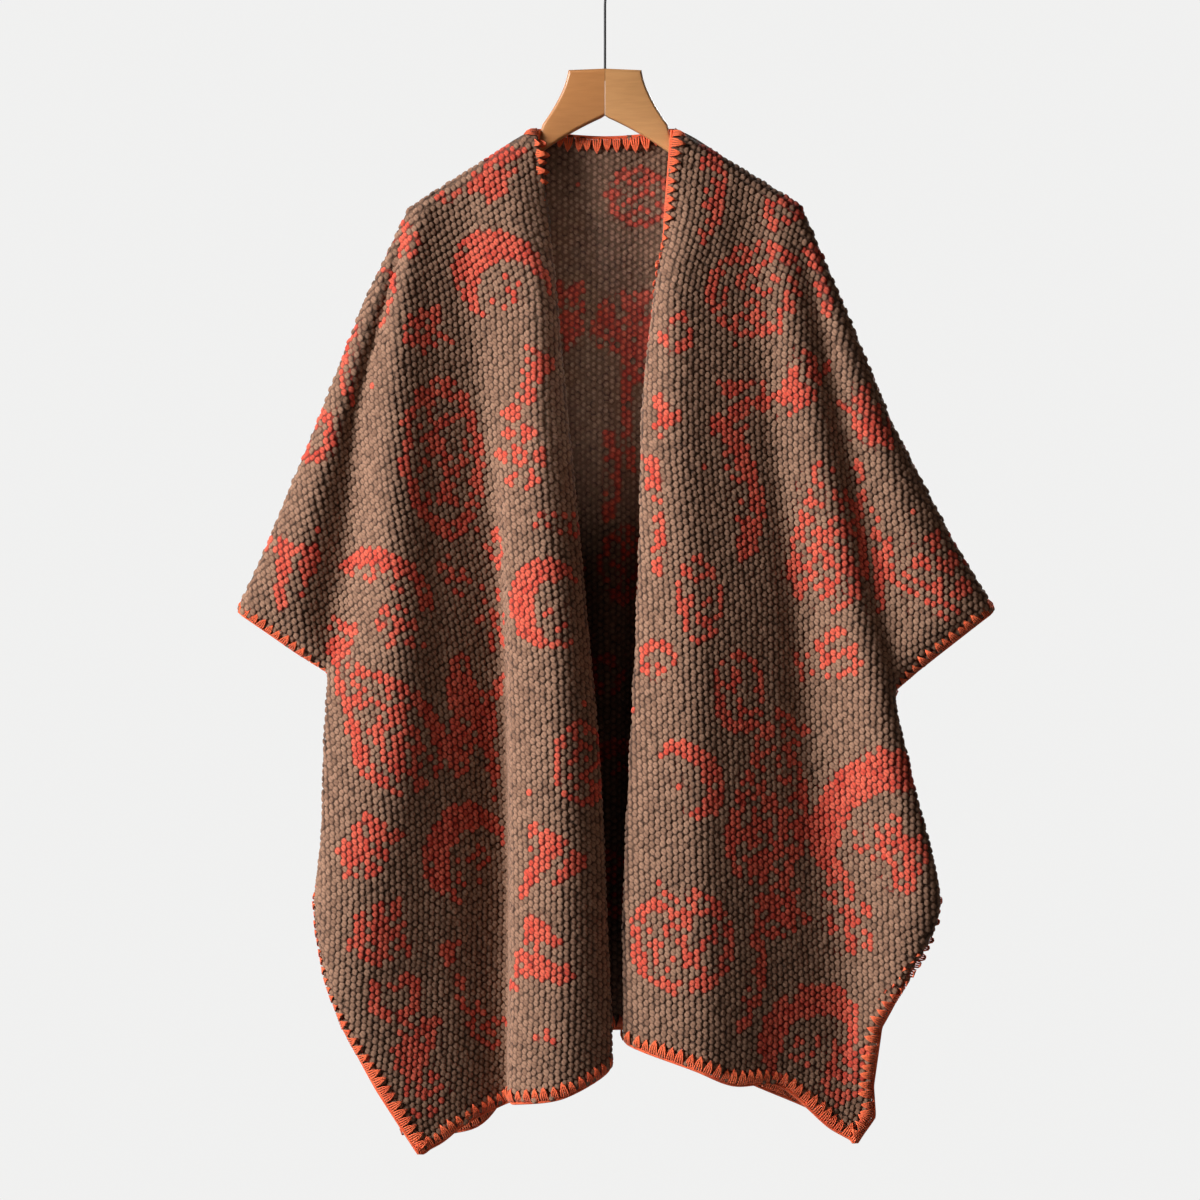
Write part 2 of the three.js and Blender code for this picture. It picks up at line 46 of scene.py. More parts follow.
def add(tree, kind, inputs=None, **settings):
    """A node with its settings. Each input is a socket to link or a constant."""
    node = tree.nodes.new(kind)
    for title, value in settings.items():
        setattr(node, title, value)
    for socket, value in (inputs or {}).items():
        if isinstance(value, bpy.types.NodeSocket):
            tree.links.new(value, node.inputs[socket])
        else:
            node.inputs[socket].default_value = value
    return node


def mixed(tree, share, first, second, how="MIX"):
    inputs = {0: share, 6: first, 7: second}
    return add(tree, "ShaderNodeMix", inputs, data_type="RGBA", blend_type=how).outputs[2]


def object_place(tree):
    return add(tree, "ShaderNodeTexCoord").outputs["Object"]


def new_material(name, roughness=0.9, sheen=0.0):
    material = bpy.data.materials.new(name)
    material.use_nodes = True
    shader = material.node_tree.nodes["Principled BSDF"]
    shader.inputs["Roughness"].default_value = roughness
    shader.inputs["Sheen Weight"].default_value = sheen
    return material, material.node_tree, shader


wire, wire_tree, wire_shader = new_material("black_wire", 0.35)
wire_shader.inputs["Metallic"].default_value = 0.7
rub = add(wire_tree, "ShaderNodeTexNoise", {"Vector": object_place(wire_tree), "Scale": 60})
black = mixed(wire_tree, rub.outputs["Fac"], (0.010, 0.010, 0.011, 1), (0.03, 0.03, 0.032, 1))
wire_tree.links.new(black, wire_shader.inputs["Base Color"])
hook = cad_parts["hanger_hook"]
hook.data.materials.clear()
hook.data.materials.append(wire)

# ---------------------------------------------------------------- hanger
# Two beech boards, mitred in the middle, with a flared head and long arms under the shoulders.
# Their edges are rounded and the wood is sealed with a satin lacquer.
MM = 0.001  # lengths are in millimetres until a mesh is made
HEAD_TOP = -119
WOOD_THICK = 14
WOOD_EDGE = 3
MITRE_HALF_GAP = 0.15
GRAIN_SLOPE = 31  # degrees that the grain falls with the arm


def curve_between(start, middle, end, count=12):
    """A quadratic curve's points after its start."""
    t = np.arange(1, count + 1)[:, None] / count
    start, middle, end = (np.array(p, float) for p in (start, middle, end))
    return (1 - t) ** 2 * start + 2 * t * (1 - t) * middle + t ** 2 * end


def board_outline(side):
    pieces = [
        np.array(((MITRE_HALF_GAP, 0), (36.5, -1.5)), float),
        curve_between((36.5, -1.5), (39.5, -24), (62.5, -56)),
        np.array(((66, -69), (184, -141)), float),
        curve_between((184, -141), (192, -147), (188, -154), 6),
        curve_between((188, -154), (183, -160), (174, -155), 6),
        np.array(((63, -83),), float),
        curve_between((63, -83), (28, -58), (-8, -44)),
    ]
    outline = np.concatenate(pieces)
    outline = outline[outline[:, 0] >= MITRE_HALF_GAP - 1e-6]
    outline = np.vstack((outline, (MITRE_HALF_GAP, -46.5)))
    return outline * (side, 1) + (0, HEAD_TOP)


def bumped(tree, height, distance, strength=1.0):
    """The normals of a surface with small forms, from a socket of their heights."""
    inputs = {"Strength": strength, "Distance": distance, "Height": height}
    return add(tree, "ShaderNodeBump", inputs).outputs["Normal"]


def wood_material(name, side, light, dark):
    """Fine grain drawn out along the arm, under a thin coat."""
    material, tree, shader = new_material(name, 0.38)
    shader.inputs["Coat Weight"].default_value = 0.25
    shader.inputs["Coat Roughness"].default_value = 0.3
    stretch = add(tree, "ShaderNodeMapping", {
        "Vector": object_place(tree), "Rotation": (0, side * math.radians(GRAIN_SLOPE), 0),
        "Scale": (6, 60, 60),
    })
    grain = add(tree, "ShaderNodeTexNoise", {
        "Vector": stretch.outputs["Vector"], "Scale": 6, "Detail": 6, "Distortion": 0.6,
    })
    tree.links.new(mixed(tree, grain.outputs["Fac"], dark, light), shader.inputs["Base Color"])
    tree.links.new(bumped(tree, grain.outputs["Fac"], 0.0002, 0.4), shader.inputs["Normal"])
    return material


def placed(name, data):
    """A piece of the scene, at the origin."""
    piece = bpy.data.objects.new(name, data)
    bpy.context.collection.objects.link(piece)
    return piece


def board(name, side, light, dark):
    outline = board_outline(side)
    solid = bmesh.new()
    front = [solid.verts.new((x * MM, -WOOD_THICK / 2 * MM, z * MM)) for x, z in outline]
    face = solid.faces.new(front)
    swept = bmesh.ops.extrude_face_region(solid, geom=[face])
    moved = [item for item in swept["geom"] if isinstance(item, bmesh.types.BMVert)]
    bmesh.ops.translate(solid, verts=moved, vec=(0, WOOD_THICK * MM, 0))
    rims = [edge for edge in solid.edges
            if abs(edge.verts[0].co.y - edge.verts[1].co.y) < 1e-6
            and max(abs(v.co.x) for v in edge.verts) > 0.001]
    bmesh.ops.bevel(solid, geom=rims, offset=WOOD_EDGE * MM, segments=4, profile=0.5, affect="EDGES")
    bmesh.ops.recalc_face_normals(solid, faces=solid.faces)
    mesh = bpy.data.meshes.new(name)
    solid.to_mesh(mesh)
    solid.free()
    mesh.materials.append(wood_material(name + "_wood", side, light, dark))
    mesh.set_sharp_from_angle(angle=math.radians(35))
    return placed(name, mesh)


arm_right = board("right_arm", -1, (0.60, 0.265, 0.092, 1), (0.46, 0.182, 0.056, 1))
arm_left = board("left_arm", 1, (0.72, 0.370, 0.150, 1), (0.56, 0.260, 0.094, 1))
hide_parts("hanger_arm_right")
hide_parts("hanger_arm_left")
for arm in (arm_right, arm_left):
    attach(arm, "root")

# ---------------------------------------------------------------- right front panel, its shape
# Half of the cape's front, woven in thick soft wool. It lies over the hanger's arm and hangs in
# a deep column beside the opening, a trough, and an outer ridge that runs out into the sleeve.
# A fall is measured down from the shoulder, and across is from the centre line.
HIGH_SHOULDER = -175
SHOULDER_ROLL = 10.5
SHOULDER_DIP = 4.7
SEAM_HALF_GAP = 0.15
FRONT_LINES = ("edge", "roll", "crest", "side", "foot", "slope", "ridge", "fold", "sleeve", "outer")
FRONT_ARM_SHARES = (0, 0.02, 0.2, 0.4, 0.6, 0.75, 0.9, 0.965, 0.983, 1)
FRONT_SPLITS = (5, 8, 11, 7, 14, 11, 9, 8, 14)  # columns from each line to the next
TURN_ROWS = (0, 0.3, 1, 2, 3.5, 5, 7, 9.5, 12.5)  # falls below the arm, where the cloth turns over
TURN_END = 16  # the fall below the arm at which the even rows start
SLEEVE_ROWS = 105
CUFF_ROWS = 20
BODY_ROWS = 125

# neck and tip are places on the arm, cuff the falls of the cuff's two ends, and hem the fall at
# which each line ends
RIGHT_FRONT = {
    "neck": (-67.5, 0),
    "tip": (-194, 80),
    "cuff": (485, 547),
    "hem": (934, 937, 964, 972, 974, 995, 1011, 1018, 1021, 1023),
    # fall, then across and depth of each fold line, in the order of FRONT_LINES
    "sections": (
        (90, (-73, -9), (-59, -13), (-84, -24), (-114, -20), (-142, -13),
         (-168, -14), (-184, -16), (-193, -12), (-195.5, -11), (-197, -10)),
        (180, (-82, 2), (-51, -15), (-66, -33), (-98, -25), (-136, -13),
         (-172, -19), (-203, -27), (-219, -12), (-229, -15), (-239.5, -10)),
        (300, (-80, 6), (-39.5, -18), (-63, -40), (-93, -28), (-122, -10),
         (-168, -22), (-210, -37), (-250, -11), (-266, -19), (-286.5, -10)),
        (420, (-74, 5), (-28, -22), (-55, -46), (-91, -32), (-109, -8),
         (-162, -23), (-210, -43), (-257, -13), (-298, -26), (-335.5, -11)),
        (485, (-70, 2), (-22, -24), (-48, -50), (-89, -35), (-104, -6),
         (-160, -24), (-208, -46), (-267, -15), (-309, -27), (-365, -12)),
        (528, (-67, 1), (-18, -25), (-45, -53), (-88, -36), (-102, -4),
         (-158, -25), (-208, -49), (-270, -19), (-290, -20), (-303, -14)),
        (547, (-66, 0), (-16, -26), (-44, -54), (-88, -36), (-101, -4),
         (-158, -26), (-209, -50), (-272, -22), (-273, -13), (-272, -4)),
        (640, (-58, -2), (-8, -30), (-41, -58), (-87, -38), (-99, -2),
         (-160, -30), (-213, -55), (-277, -27), (-262, -10), (-232, -4)),
        (775, (-50, -4), (-2, -33), (-38, -61), (-87, -40), (-97, 0),
         (-164, -30), (-236, -55), (-278, -40), (-285, -25), (-286, -13)),
        (850, (-46, -5), (1.5, -34), (-38, -62), (-87, -40), (-97, -1),
         (-166, -28), (-240, -51), (-266, -46), (-273, -38), (-277, -29)),
        (900, (-44, -6), (3.5, -34), (-39, -62), (-88, -40), (-97, -2),
         (-156, -26), (-212, -44), (-244, -47), (-252, -44), (-258, -38)),
        (960, (-43, -7), (4, -34), (-41, -62), (-89, -40), (-97, -4),
         (-146, -24), (-182, -36), (-209, -42), (-217, -42), (-224, -41)),
        (1030, (-42, -8), (4.5, -34), (-42, -62), (-90, -40), (-98, -6),
         (-137, -23), (-156, -31), (-169, -35), (-174, -36), (-179, -37)),
    ),
}


def eased_through(stations, values, at):
    """A smooth curve through the stations that never overshoots them."""
    stations, values = np.asarray(stations, float), np.asarray(values, float)
    slopes = np.diff(values) / np.diff(stations)
    product = slopes[:-1] * slopes[1:]
    turning = product <= 0
    total = np.where(turning, 1, slopes[:-1] + slopes[1:])
    tangents = np.concatenate(([slopes[0]], np.where(turning, 0, 2 * product / total), [slopes[-1]]))
    at = np.clip(at, stations[0], stations[-1])
    i = np.clip(np.searchsorted(stations, at) - 1, 0, len(stations) - 2)
    span = stations[i + 1] - stations[i]
    s = (at - stations[i]) / span
    start = values[i] * (1 + 2 * s) + tangents[i] * span * s
    end = values[i + 1] * (3 - 2 * s) - tangents[i + 1] * span * (1 - s)
    return start * (1 - s) ** 2 + end * s ** 2


def start_on_arm(half, share):
    neck, tip = np.array(half["neck"], float), np.array(half["tip"], float)
    x, fall = neck + (tip - neck) * share
    return x, fall + SHOULDER_DIP


def place_on_line(start, falls, places, at, straight=False):
    """Across and depth of a fold line at the falls in at, from its start on the arm."""
    places = np.asarray(places, float)
    stations = np.concatenate(([start[1]], falls))
    across = np.concatenate(([start[0]], places[:, 0]))
    depth = np.concatenate(([math.copysign(SHOULDER_ROLL, places[0, 1])], places[:, 1]))
    x = np.interp(at, stations, across) if straight else eased_through(stations, across, at)
    return x, eased_through(stations, depth, at)


def shoulder_line(half, first_share):
    """From the neck over the arm's tip to the top of the cuff."""
    points = [start_on_arm(half, first_share), start_on_arm(half, 1)]
    for fall, *places in half["sections"]:
        if fall <= half["cuff"][0]:
            points.append((places[-1][0], fall))
    return points


def distance_to_line(points, x, fall):
    least = np.full(x.shape, np.inf)
    for (ax, af), (bx, bf) in zip(points, points[1:]):
        length = (bx - ax) ** 2 + (bf - af) ** 2
        s = np.clip(((x - ax) * (bx - ax) + (fall - af) * (bf - af)) / length, 0, 1)
        least = np.minimum(least, np.hypot(x - ax - s * (bx - ax), fall - af - s * (bf - af)))
    return least


def between_lines(controls, span, share):
    """Each row's point on a centripetal curve through its fold lines."""
    first, second = controls[:, span], controls[:, span + 1]
    before = controls[:, span - 1] if span else 2 * first - second
    after = controls[:, span + 2] if span + 2 < controls.shape[1] else 2 * second - first
    steps = [np.sum((b - a) ** 2, axis=1)[:, None] ** 0.25
             for a, b in ((before, first), (first, second), (second, after))]
    middle = np.where(steps[1] < 1e-4, 1, steps[1])
    lead, trail = (np.where(step < 1e-4, middle, step) for step in (steps[0], steps[2]))
    leaving = ((first - before) / lead - (second - before) / (lead + middle)
               + (second - first) / middle) * middle
    arriving = ((second - first) / middle - (after - first) / (middle + trail)
                + (after - second) / trail) * middle
    square = 3 * (second - first) - 2 * leaving - arriving
    cube = 2 * (first - second) + leaving + arriving
    return first + leaving * share + square * share ** 2 + cube * share ** 3


def row_shares(half, hem_fall):
    """The rows' places from the shoulder to the hem. They lie close where the cloth turns over."""
    start = start_on_arm(half, 1)[1]
    top, low = half["cuff"]
    falls = np.concatenate((
        start + np.array(TURN_ROWS),
        np.linspace(start + TURN_END, top, SLEEVE_ROWS),
        np.linspace(top, low, CUFF_ROWS)[1:],
        np.linspace(low, hem_fall, BODY_ROWS)[1:],
    ))
    return (falls - start) / (hem_fall - start)


def settled_grid(controls, splits, shoulders, side):
    """The cloth's mid surface as rows of points, drawn in towards the shoulder line."""
    columns = [controls[:, 0]]
    for span, count in enumerate(splits):
        columns += [between_lines(controls, span, k / count) for k in range(1, count + 1)]
    grid = np.stack(columns, axis=1)
    fall = HIGH_SHOULDER - grid[..., 2]
    distance = np.min([distance_to_line(line, grid[..., 0], fall) for line in shoulders], axis=0)
    inside = 1 - np.minimum(distance / SHOULDER_ROLL, 1)
    grid[..., 1] *= np.sqrt(1 - inside ** 2)
    grid[..., 1][distance < 0.01] = side * SEAM_HALF_GAP
    return grid


def front_grid(half):
    shares = row_shares(half, half["hem"][-1])
    falls = np.array([row[0] for row in half["sections"]], float)
    lines = []
    for k, arm_share in enumerate(FRONT_ARM_SHARES):
        start = start_on_arm(half, arm_share)
        fall = start[1] + (half["hem"][k] - start[1]) * shares
        places = [row[k + 1] for row in half["sections"]]
        x, y = place_on_line(start, falls, places, fall, straight=FRONT_LINES[k] == "outer")
        lines.append(np.stack((x, y, HIGH_SHOULDER - fall), axis=1))
    return settled_grid(np.stack(lines, axis=1), FRONT_SPLITS, [shoulder_line(half, 0)], -1)


# ---------------------------------------------------------------- right front panel, its weave
# Thick two-ply yarn floats over the ground in round nubs, set like honeycomb in upright columns.
# Taupe brown is the ground colour and coral draws the paisley, a nub at a time.
COLUMN_STEP = 5.85  # from one column of nubs to the next
ROW_STEP = 3.4  # half the step from nub to nub in a column
SHELL_HALF = 2.2  # half the thickness of the ground cloth
NUB_SIZE = (7.5, 8.6, 2.5)  # across, along the column, standing out of the cloth
NUB_STRAY = 0.45  # how far a nub sits off its place
NUB_LEAN = 0.16  # how far it leans, as a slope
NUB_SINK = 0.5  # the most that it sits down into the ground
EDGE_MARGIN = 3.0  # no nub stands nearer an upright edge
SURE_ROWS = 60  # rows from the first whole one down to that where measuring starts
FRONT_HOME = sum(FRONT_SPLITS[:2])  # the crest's column in the grid, where measuring starts


def unit(vectors):
    return vectors / (np.linalg.norm(vectors, axis=-1)[..., None] + 1e-9)


def runs_of(valid):
    """The stretches of neighbouring columns that a row passes through."""
    marks = np.flatnonzero(np.diff(np.concatenate(([0], valid.astype(int), [0]))))
    return [np.arange(a, b) for a, b in zip(marks[::2], marks[1::2])]


def end_of_run(grid, level, inner, outer):
    """Where a level row leaves the cloth between two columns, over the top or the bottom row."""
    row = grid[0] if level > grid[0, outer, 2] else grid[-1]
    share = (level - row[inner, 2]) / (row[outer, 2] - row[inner, 2])
    return row[inner, :2] + share * (row[outer, :2] - row[inner, :2])


def cloth_rows(grid, home):
    """Level rows through the cloth: index, height, place along the cloth, points and slopes down."""
    columns = grid.shape[1]
    tops, lows = grid[0, :, 2], grid[-1, :, 2]
    first, last = (int((HIGH_SHOULDER - z) / ROW_STEP) for z in (tops.max(), lows.min()))
    indices = np.arange(first + 1, last + 1)
    levels = HIGH_SHOULDER - ROW_STEP * indices
    slopes = unit(np.gradient(grid, axis=0))

    def cut(values):
        return np.stack([np.interp(-levels, -grid[:, j, 2], values[:, j])
                         for j in range(columns)], axis=1)

    flat = np.stack([cut(grid[..., axis]) for axis in (0, 1)], axis=2)
    downs = np.stack([cut(slopes[..., axis]) for axis in range(3)], axis=2)
    valid = (levels[:, None] <= tops) & (levels[:, None] >= lows)
    middle = int(np.argmax(valid.all(axis=1))) + SURE_ROWS
    rows = []
    for order in (range(middle, len(levels)), range(middle, -1, -1)):
        known = None if not rows else start_known.copy()
        for k in order:
            for run in runs_of(valid[k]):
                points, slope = flat[k, run], downs[k, run]
                if run[0] > 0:
                    points = np.vstack((end_of_run(grid, levels[k], run[0], run[0] - 1), points))
                    slope = np.vstack((slope[:1], slope))
                if run[-1] + 1 < columns:
                    points = np.vstack((points, end_of_run(grid, levels[k], run[-1], run[-1] + 1)))
                    slope = np.vstack((slope, slope[-1:]))
                steps = np.linalg.norm(np.diff(points, axis=0), axis=1)
                along = np.concatenate(([0], np.cumsum(np.maximum(steps, 1e-6))))
                shift = 1 if run[0] > 0 else 0
                anchor = int(np.argmin(np.abs(run - home)))
                if known is None:
                    known = np.zeros(columns)
                    offset = -along[anchor + shift]
                else:
                    offset = known[run[anchor]] - along[anchor + shift]
                along = along + offset
                known[run] = along[shift:shift + len(run)]
                if k != middle or order.step == 1:
                    rows.append((int(indices[k]), float(levels[k]), along, points, slope))
            if k == middle and order.step == 1:
                start_known = known.copy()
    return rows


def nub_places(rows, turn, face=1):
    """The nubs of one face: place, outward and upward directions, place on the cloth, and cell."""
    found = []
    for index, level, along, points, slope in rows:
        first = math.ceil((along[0] + EDGE_MARGIN) / COLUMN_STEP)
        last = math.floor((along[-1] - EDGE_MARGIN) / COLUMN_STEP)
        cells = np.array([c for c in range(first, last + 1) if (c - index) % 2 == 0], int)
        if not len(cells):
            continue
        at = cells * COLUMN_STEP
        place = np.stack([np.interp(at, along, points[:, k]) for k in (0, 1)], axis=1)
        bend = np.gradient(points, along, axis=0)
        across = np.stack([np.interp(at, along, bend[:, k]) for k in (0, 1)]
                          + [np.zeros(len(at))], axis=1)
        down = np.stack([np.interp(at, along, slope[:, k]) for k in range(3)], axis=1)
        outward = unit(np.cross(across, down) * turn * face)
        upward = unit(np.array((0, 0, 1.0)) - outward * outward[:, 2:3])
        for k in range(len(at)):
            found.append((*place[k], level, *outward[k], *upward[k],
                          at[k], HIGH_SHOULDER - level, cells[k], index // 2))
    found = np.array(found)
    return {
        "place": found[:, :3] + found[:, 3:6] * SHELL_HALF,
        "outwards": found[:, 3:6], "upwards": found[:, 6:9],
        "along": found[:, 9], "fall": found[:, 10], "cell": found[:, 11:13],
    }


def place_on_cloth(rows, x, fall, front=-1):
    """How far along the cloth its frontmost point at x lies, at a fall."""
    index = round(fall / ROW_STEP)
    best = None
    for row_index, _, along, points, _ in rows:
        if row_index != index:
            continue
        for k in np.flatnonzero((points[:-1, 0] - x) * (points[1:, 0] - x) <= 0):
            share = (x - points[k, 0]) / (points[k + 1, 0] - points[k, 0] + 1e-9)
            depth = points[k, 1] * front
            if best is None or depth > best[0]:
                best = (depth, along[k] + share * (along[k + 1] - along[k]))
    return best[1] if best else None


# Each motif's form, on a cloth where across and down run from -1 to 1 over the motif. A form gives
# the share of nubs that are coral: 1 where it is solid, less where brown nubs stand between.
def crescent(u, v):
    body = (np.hypot(u, v) < 1) & (np.hypot(u - 0.4, v - 0.06) > 0.72)
    inside = np.hypot(u - 0.3, v - 0.15) < 0.42
    return np.maximum(body * 0.97, inside * 0.28)


def arc(u, v):
    r, angle = np.hypot(u, v), np.abs(np.arctan2(v, u))
    band = (np.abs(r - 0.84) < 0.17) & (angle < 1.35)
    fringe = (np.abs(r - 0.5) < 0.14) & (angle < 1.0)
    return np.maximum(band * 0.94, fringe * 0.4)


def rows_of_dots(u, v):
    inside = (np.abs(u) < 1) & (np.abs(v) < 0.95)
    return inside * np.where(np.sin(8 * v + 2 * u) > -0.2, 0.72, 0.08)


def oval(u, v):
    r = np.hypot(u, v)
    inside = np.where(np.sin(7 * u + 3 * v) * np.sin(6 * v) > -0.15, 0.62, 0.12)
    share = np.where(r < 0.7, inside, 0.0)
    return np.where(np.abs(r - 0.88) < 0.13, 0.78, share)


def paisley(u, v):
    """A drop with its tip bent over, an outline, a ring and dots between them."""
    bent = u + 0.55 * np.clip(-v - 0.1, 0, 1) ** 2
    half = 0.72 * np.sqrt(np.clip(1 - v * v, 0, 1)) * (1 + 0.38 * v) + 0.02
    out = np.abs(bent) / half
    ring = np.hypot(bent * 1.5, (v - 0.3) * 1.4)
    share = np.where(out < 0.72, 0.34, 0.0)
    share = np.where(np.abs(ring - 0.5) < 0.14, 0.85, share)
    share = np.where(ring < 0.2, 0.9, share)
    share = np.where(np.abs(out - 0.98) < 0.2, 0.92, share)
    return share * (np.abs(v) < 1)


def curl(u, v):
    angle = (np.arctan2(v, u) + np.pi) / (2 * np.pi)
    r = np.hypot(u, v)
    return (np.abs(r - (0.3 + 0.58 * angle)) < 0.2) * 0.92


def leaf(u, v, x, y, lean, long=0.48, wide=0.22):
    c, s = math.cos(lean), math.sin(lean)
    a, b = (u - x) * c + (v - y) * s, (v - y) * c - (u - x) * s
    return (a / long) ** 2 + (b / wide) ** 2 < 1


def sprig(u, v):
    found = (np.abs(u - 0.1 * v) < 0.15) & (np.abs(v) < 0.98)
    for side in (-1, 1):
        for y in (-0.6, 0.0, 0.55):
            found |= leaf(u, v, side * 0.42, y - 0.14, -side * 0.7)
    return found * 0.86


def flower(u, v):
    r, angle = np.hypot(u, v), np.arctan2(v, u)
    return ((r < 0.34) | ((np.abs(r - 0.76) < 0.26) & (np.cos(6 * angle) > -0.1))) * 0.88


def blob(u, v):
    return (np.hypot(u, v) < 0.78 + 0.22 * np.cos(3 * np.arctan2(v, u))) * 0.8


def fan(u, v):
    inside = (np.abs(v) < 0.95) & (np.abs(u) < 0.2 + 0.44 * (v + 0.95))
    return inside * np.where(np.sin(8 * u) + 0.6 * v > -0.25, 0.95, 0.12)


def hook_line(u, v):
    stem = (np.abs(u + 0.4 * v * v - 0.25) < 0.3) & (np.abs(v) < 1)
    beads = np.where(np.sin(11 * v) > -0.6, 0.85, 0.2)
    return np.maximum(stem * beads, (np.hypot(u - 0.3, v + 0.65) < 0.36) * 0.9)


# form, across from the centre line, fall, half width, half height, turn in degrees
RIGHT_FRONT_MOTIFS = (
    (sprig, -108, 52, 24, 34, 25), (hook_line, -148, 66, 16, 26, 60), (crescent, -103, 155, 50, 48, 55),
    (flower, -200, 116, 18, 22, 0), (sprig, -182, 208, 26, 24, 70), (hook_line, -214, 176, 14, 30, 20),
    (oval, -163, 334, 44, 82, 4), (hook_line, -80, 262, 30, 40, 25), (flower, -84, 332, 28, 34, 0),
    (rows_of_dots, -46, 398, 26, 12, 8), (curl, -284, 306, 24, 38, 20), (arc, -244, 240, 22, 44, 190),
    (arc, -222, 474, 50, 54, -65), (flower, -206, 500, 22, 24, 0), (crescent, -57, 479, 40, 45, 10),
    (flower, -110, 494, 20, 34, 0), (fan, -314, 452, 32, 40, 195), (sprig, -262, 520, 20, 26, 20),
    (paisley, -213, 597, 54, 70, -22), (arc, -98, 606, 26, 62, 190), (oval, -22, 637, 32, 42, 0),
    (blob, -138, 592, 34, 72, 8), (crescent, -140, 726, 44, 52, 35), (sprig, -238, 722, 30, 36, 40),
    (fan, -60, 742, 38, 38, 215), (sprig, -226, 806, 38, 30, 75), (fan, -58, 832, 46, 36, 110),
    (rows_of_dots, -55, 906, 16, 7, 0), (curl, -204, 866, 30, 34, 30), (sprig, -190, 920, 26, 34, 15),
    (flower, -180, 964, 22, 24, 0), (hook_line, -152, 852, 18, 40, -20),
    (rows_of_dots, -120, 900, 22, 16, 30),
    (flower, -330, 380, 20, 26, 0), (rows_of_dots, -150, 450, 20, 12, 60), (curl, -106, 420, 14, 24, 0),
)


STRAYED = 0.004  # the share of coral nubs outside every motif


def coral_share(nubs, rows, motifs, turn, front):
    """The share of coral at each nub's place: what the motifs give, and a few strayed nubs."""
    share = np.full(len(nubs["along"]), STRAYED)
    for form, x, fall, half_width, half_height, degrees in motifs:
        centre = place_on_cloth(rows, x, fall, front)
        if centre is None:
            continue
        u = -turn * (nubs["along"] - centre)
        v = nubs["fall"] - fall
        c, s = math.cos(math.radians(degrees)), math.sin(math.radians(degrees))
        across, down = (u * c + v * s) / half_width, (v * c - u * s) / half_height
        near = (np.abs(across) < 1.15) & (np.abs(down) < 1.15)
        share = np.maximum(share, near * form(across, down))
    return share


def give_values(mesh, title, values):
    """Gives each of a mesh's points its own number or direction, under a name."""
    values = np.asarray(values, float)
    kind, part = ("FLOAT_VECTOR", "vector") if values.ndim == 2 else ("FLOAT", "value")
    mesh.attributes.new(title, kind, "POINT").data.foreach_set(part, values.ravel())


def point_mesh(name, places, attributes):
    """Loose points with named numbers and directions of their own."""
    mesh = bpy.data.meshes.new(name)
    mesh.vertices.add(len(places))
    mesh.vertices.foreach_set("co", (np.asarray(places) * MM).ravel())
    for title, values in attributes.items():
        give_values(mesh, title, values)
    return placed(name, mesh)


def new_tree(title, inputs):
    """A Geometry Nodes tree with a geometry, a finish and other named inputs."""
    tree = bpy.data.node_groups.new(title, "GeometryNodeTree")
    for name, kind in {"Geometry": "Geometry", "Finish": "Material", **inputs}.items():
        tree.interface.new_socket(name, in_out="INPUT", socket_type="NodeSocket" + kind)
    tree.interface.new_socket("Geometry", in_out="OUTPUT", socket_type="NodeSocketGeometry")
    return tree, add(tree, "NodeGroupInput").outputs


def finish_tree(tree, given, geometry):
    """Puts the finish on a tree's geometry and hands it out."""
    finish = add(tree, "GeometryNodeSetMaterial", {"Geometry": geometry, "Material": given["Finish"]})
    add(tree, "NodeGroupOutput", {"Geometry": finish.outputs["Geometry"]})


def made_plain(piece, tree, inputs):
    """Runs a tree with its named inputs on a piece and keeps the result as a plain mesh."""
    modifier = piece.modifiers.new("Nodes", "NODES")
    modifier.node_group = tree
    for item in tree.interface.items_tree:
        if item.item_type == "SOCKET" and item.in_out == "INPUT" and item.name in inputs:
            modifier[item.identifier] = inputs[item.name]
    evaluated = piece.evaluated_get(bpy.context.evaluated_depsgraph_get())
    mesh = bpy.data.meshes.new_from_object(evaluated)
    piece.modifiers.clear()
    old = piece.data
    piece.data = mesh
    bpy.data.meshes.remove(old)
    mesh.shade_smooth()
    return piece


def standing_tree():
    """Stands a small piece on each point, turned to its outwards and upwards directions."""
    tree, given = new_tree("Small pieces on cloth", {
        "Piece": "Object", "Smallest": "Float", "Largest": "Float", "Seed": "Int",
        "Cell Size": "Vector",
    })

    def named(title):
        reader = add(tree, "GeometryNodeInputNamedAttribute", {"Name": title},
                     data_type="FLOAT_VECTOR")
        return reader.outputs["Attribute"]

    piece = add(tree, "GeometryNodeObjectInfo", {"Object": given["Piece"]})
    lean = add(tree, "FunctionNodeAlignRotationToVector", {"Vector": named("outwards")}, axis="Z")
    twist = add(tree, "FunctionNodeAlignRotationToVector", {
        "Rotation": lean.outputs["Rotation"], "Vector": named("upwards"),
    }, axis="Y", pivot_axis="Z")
    size = add(tree, "FunctionNodeRandomValue", {
        2: given["Smallest"], 3: given["Largest"], "Seed": given["Seed"],
    })
    stand = add(tree, "GeometryNodeInstanceOnPoints", {
        "Points": given["Geometry"], "Instance": piece.outputs["Geometry"],
        "Rotation": twist.outputs["Rotation"], "Scale": size.outputs[1],
    })
    real = add(tree, "GeometryNodeRealizeInstances", {"Geometry": stand.outputs["Instances"]})
    inside = add(tree, "ShaderNodeVectorMath", {
        0: named("spot"), 1: given["Cell Size"], 2: named("cell"),
    }, operation="MULTIPLY_ADD")
    chart = add(tree, "GeometryNodeStoreNamedAttribute", {
        "Geometry": real.outputs["Geometry"], "Name": "OFBake", "Value": inside.outputs["Vector"],
    }, data_type="FLOAT2", domain="CORNER")
    finish_tree(tree, given, chart.outputs["Geometry"])
    return tree


STANDING = standing_tree()


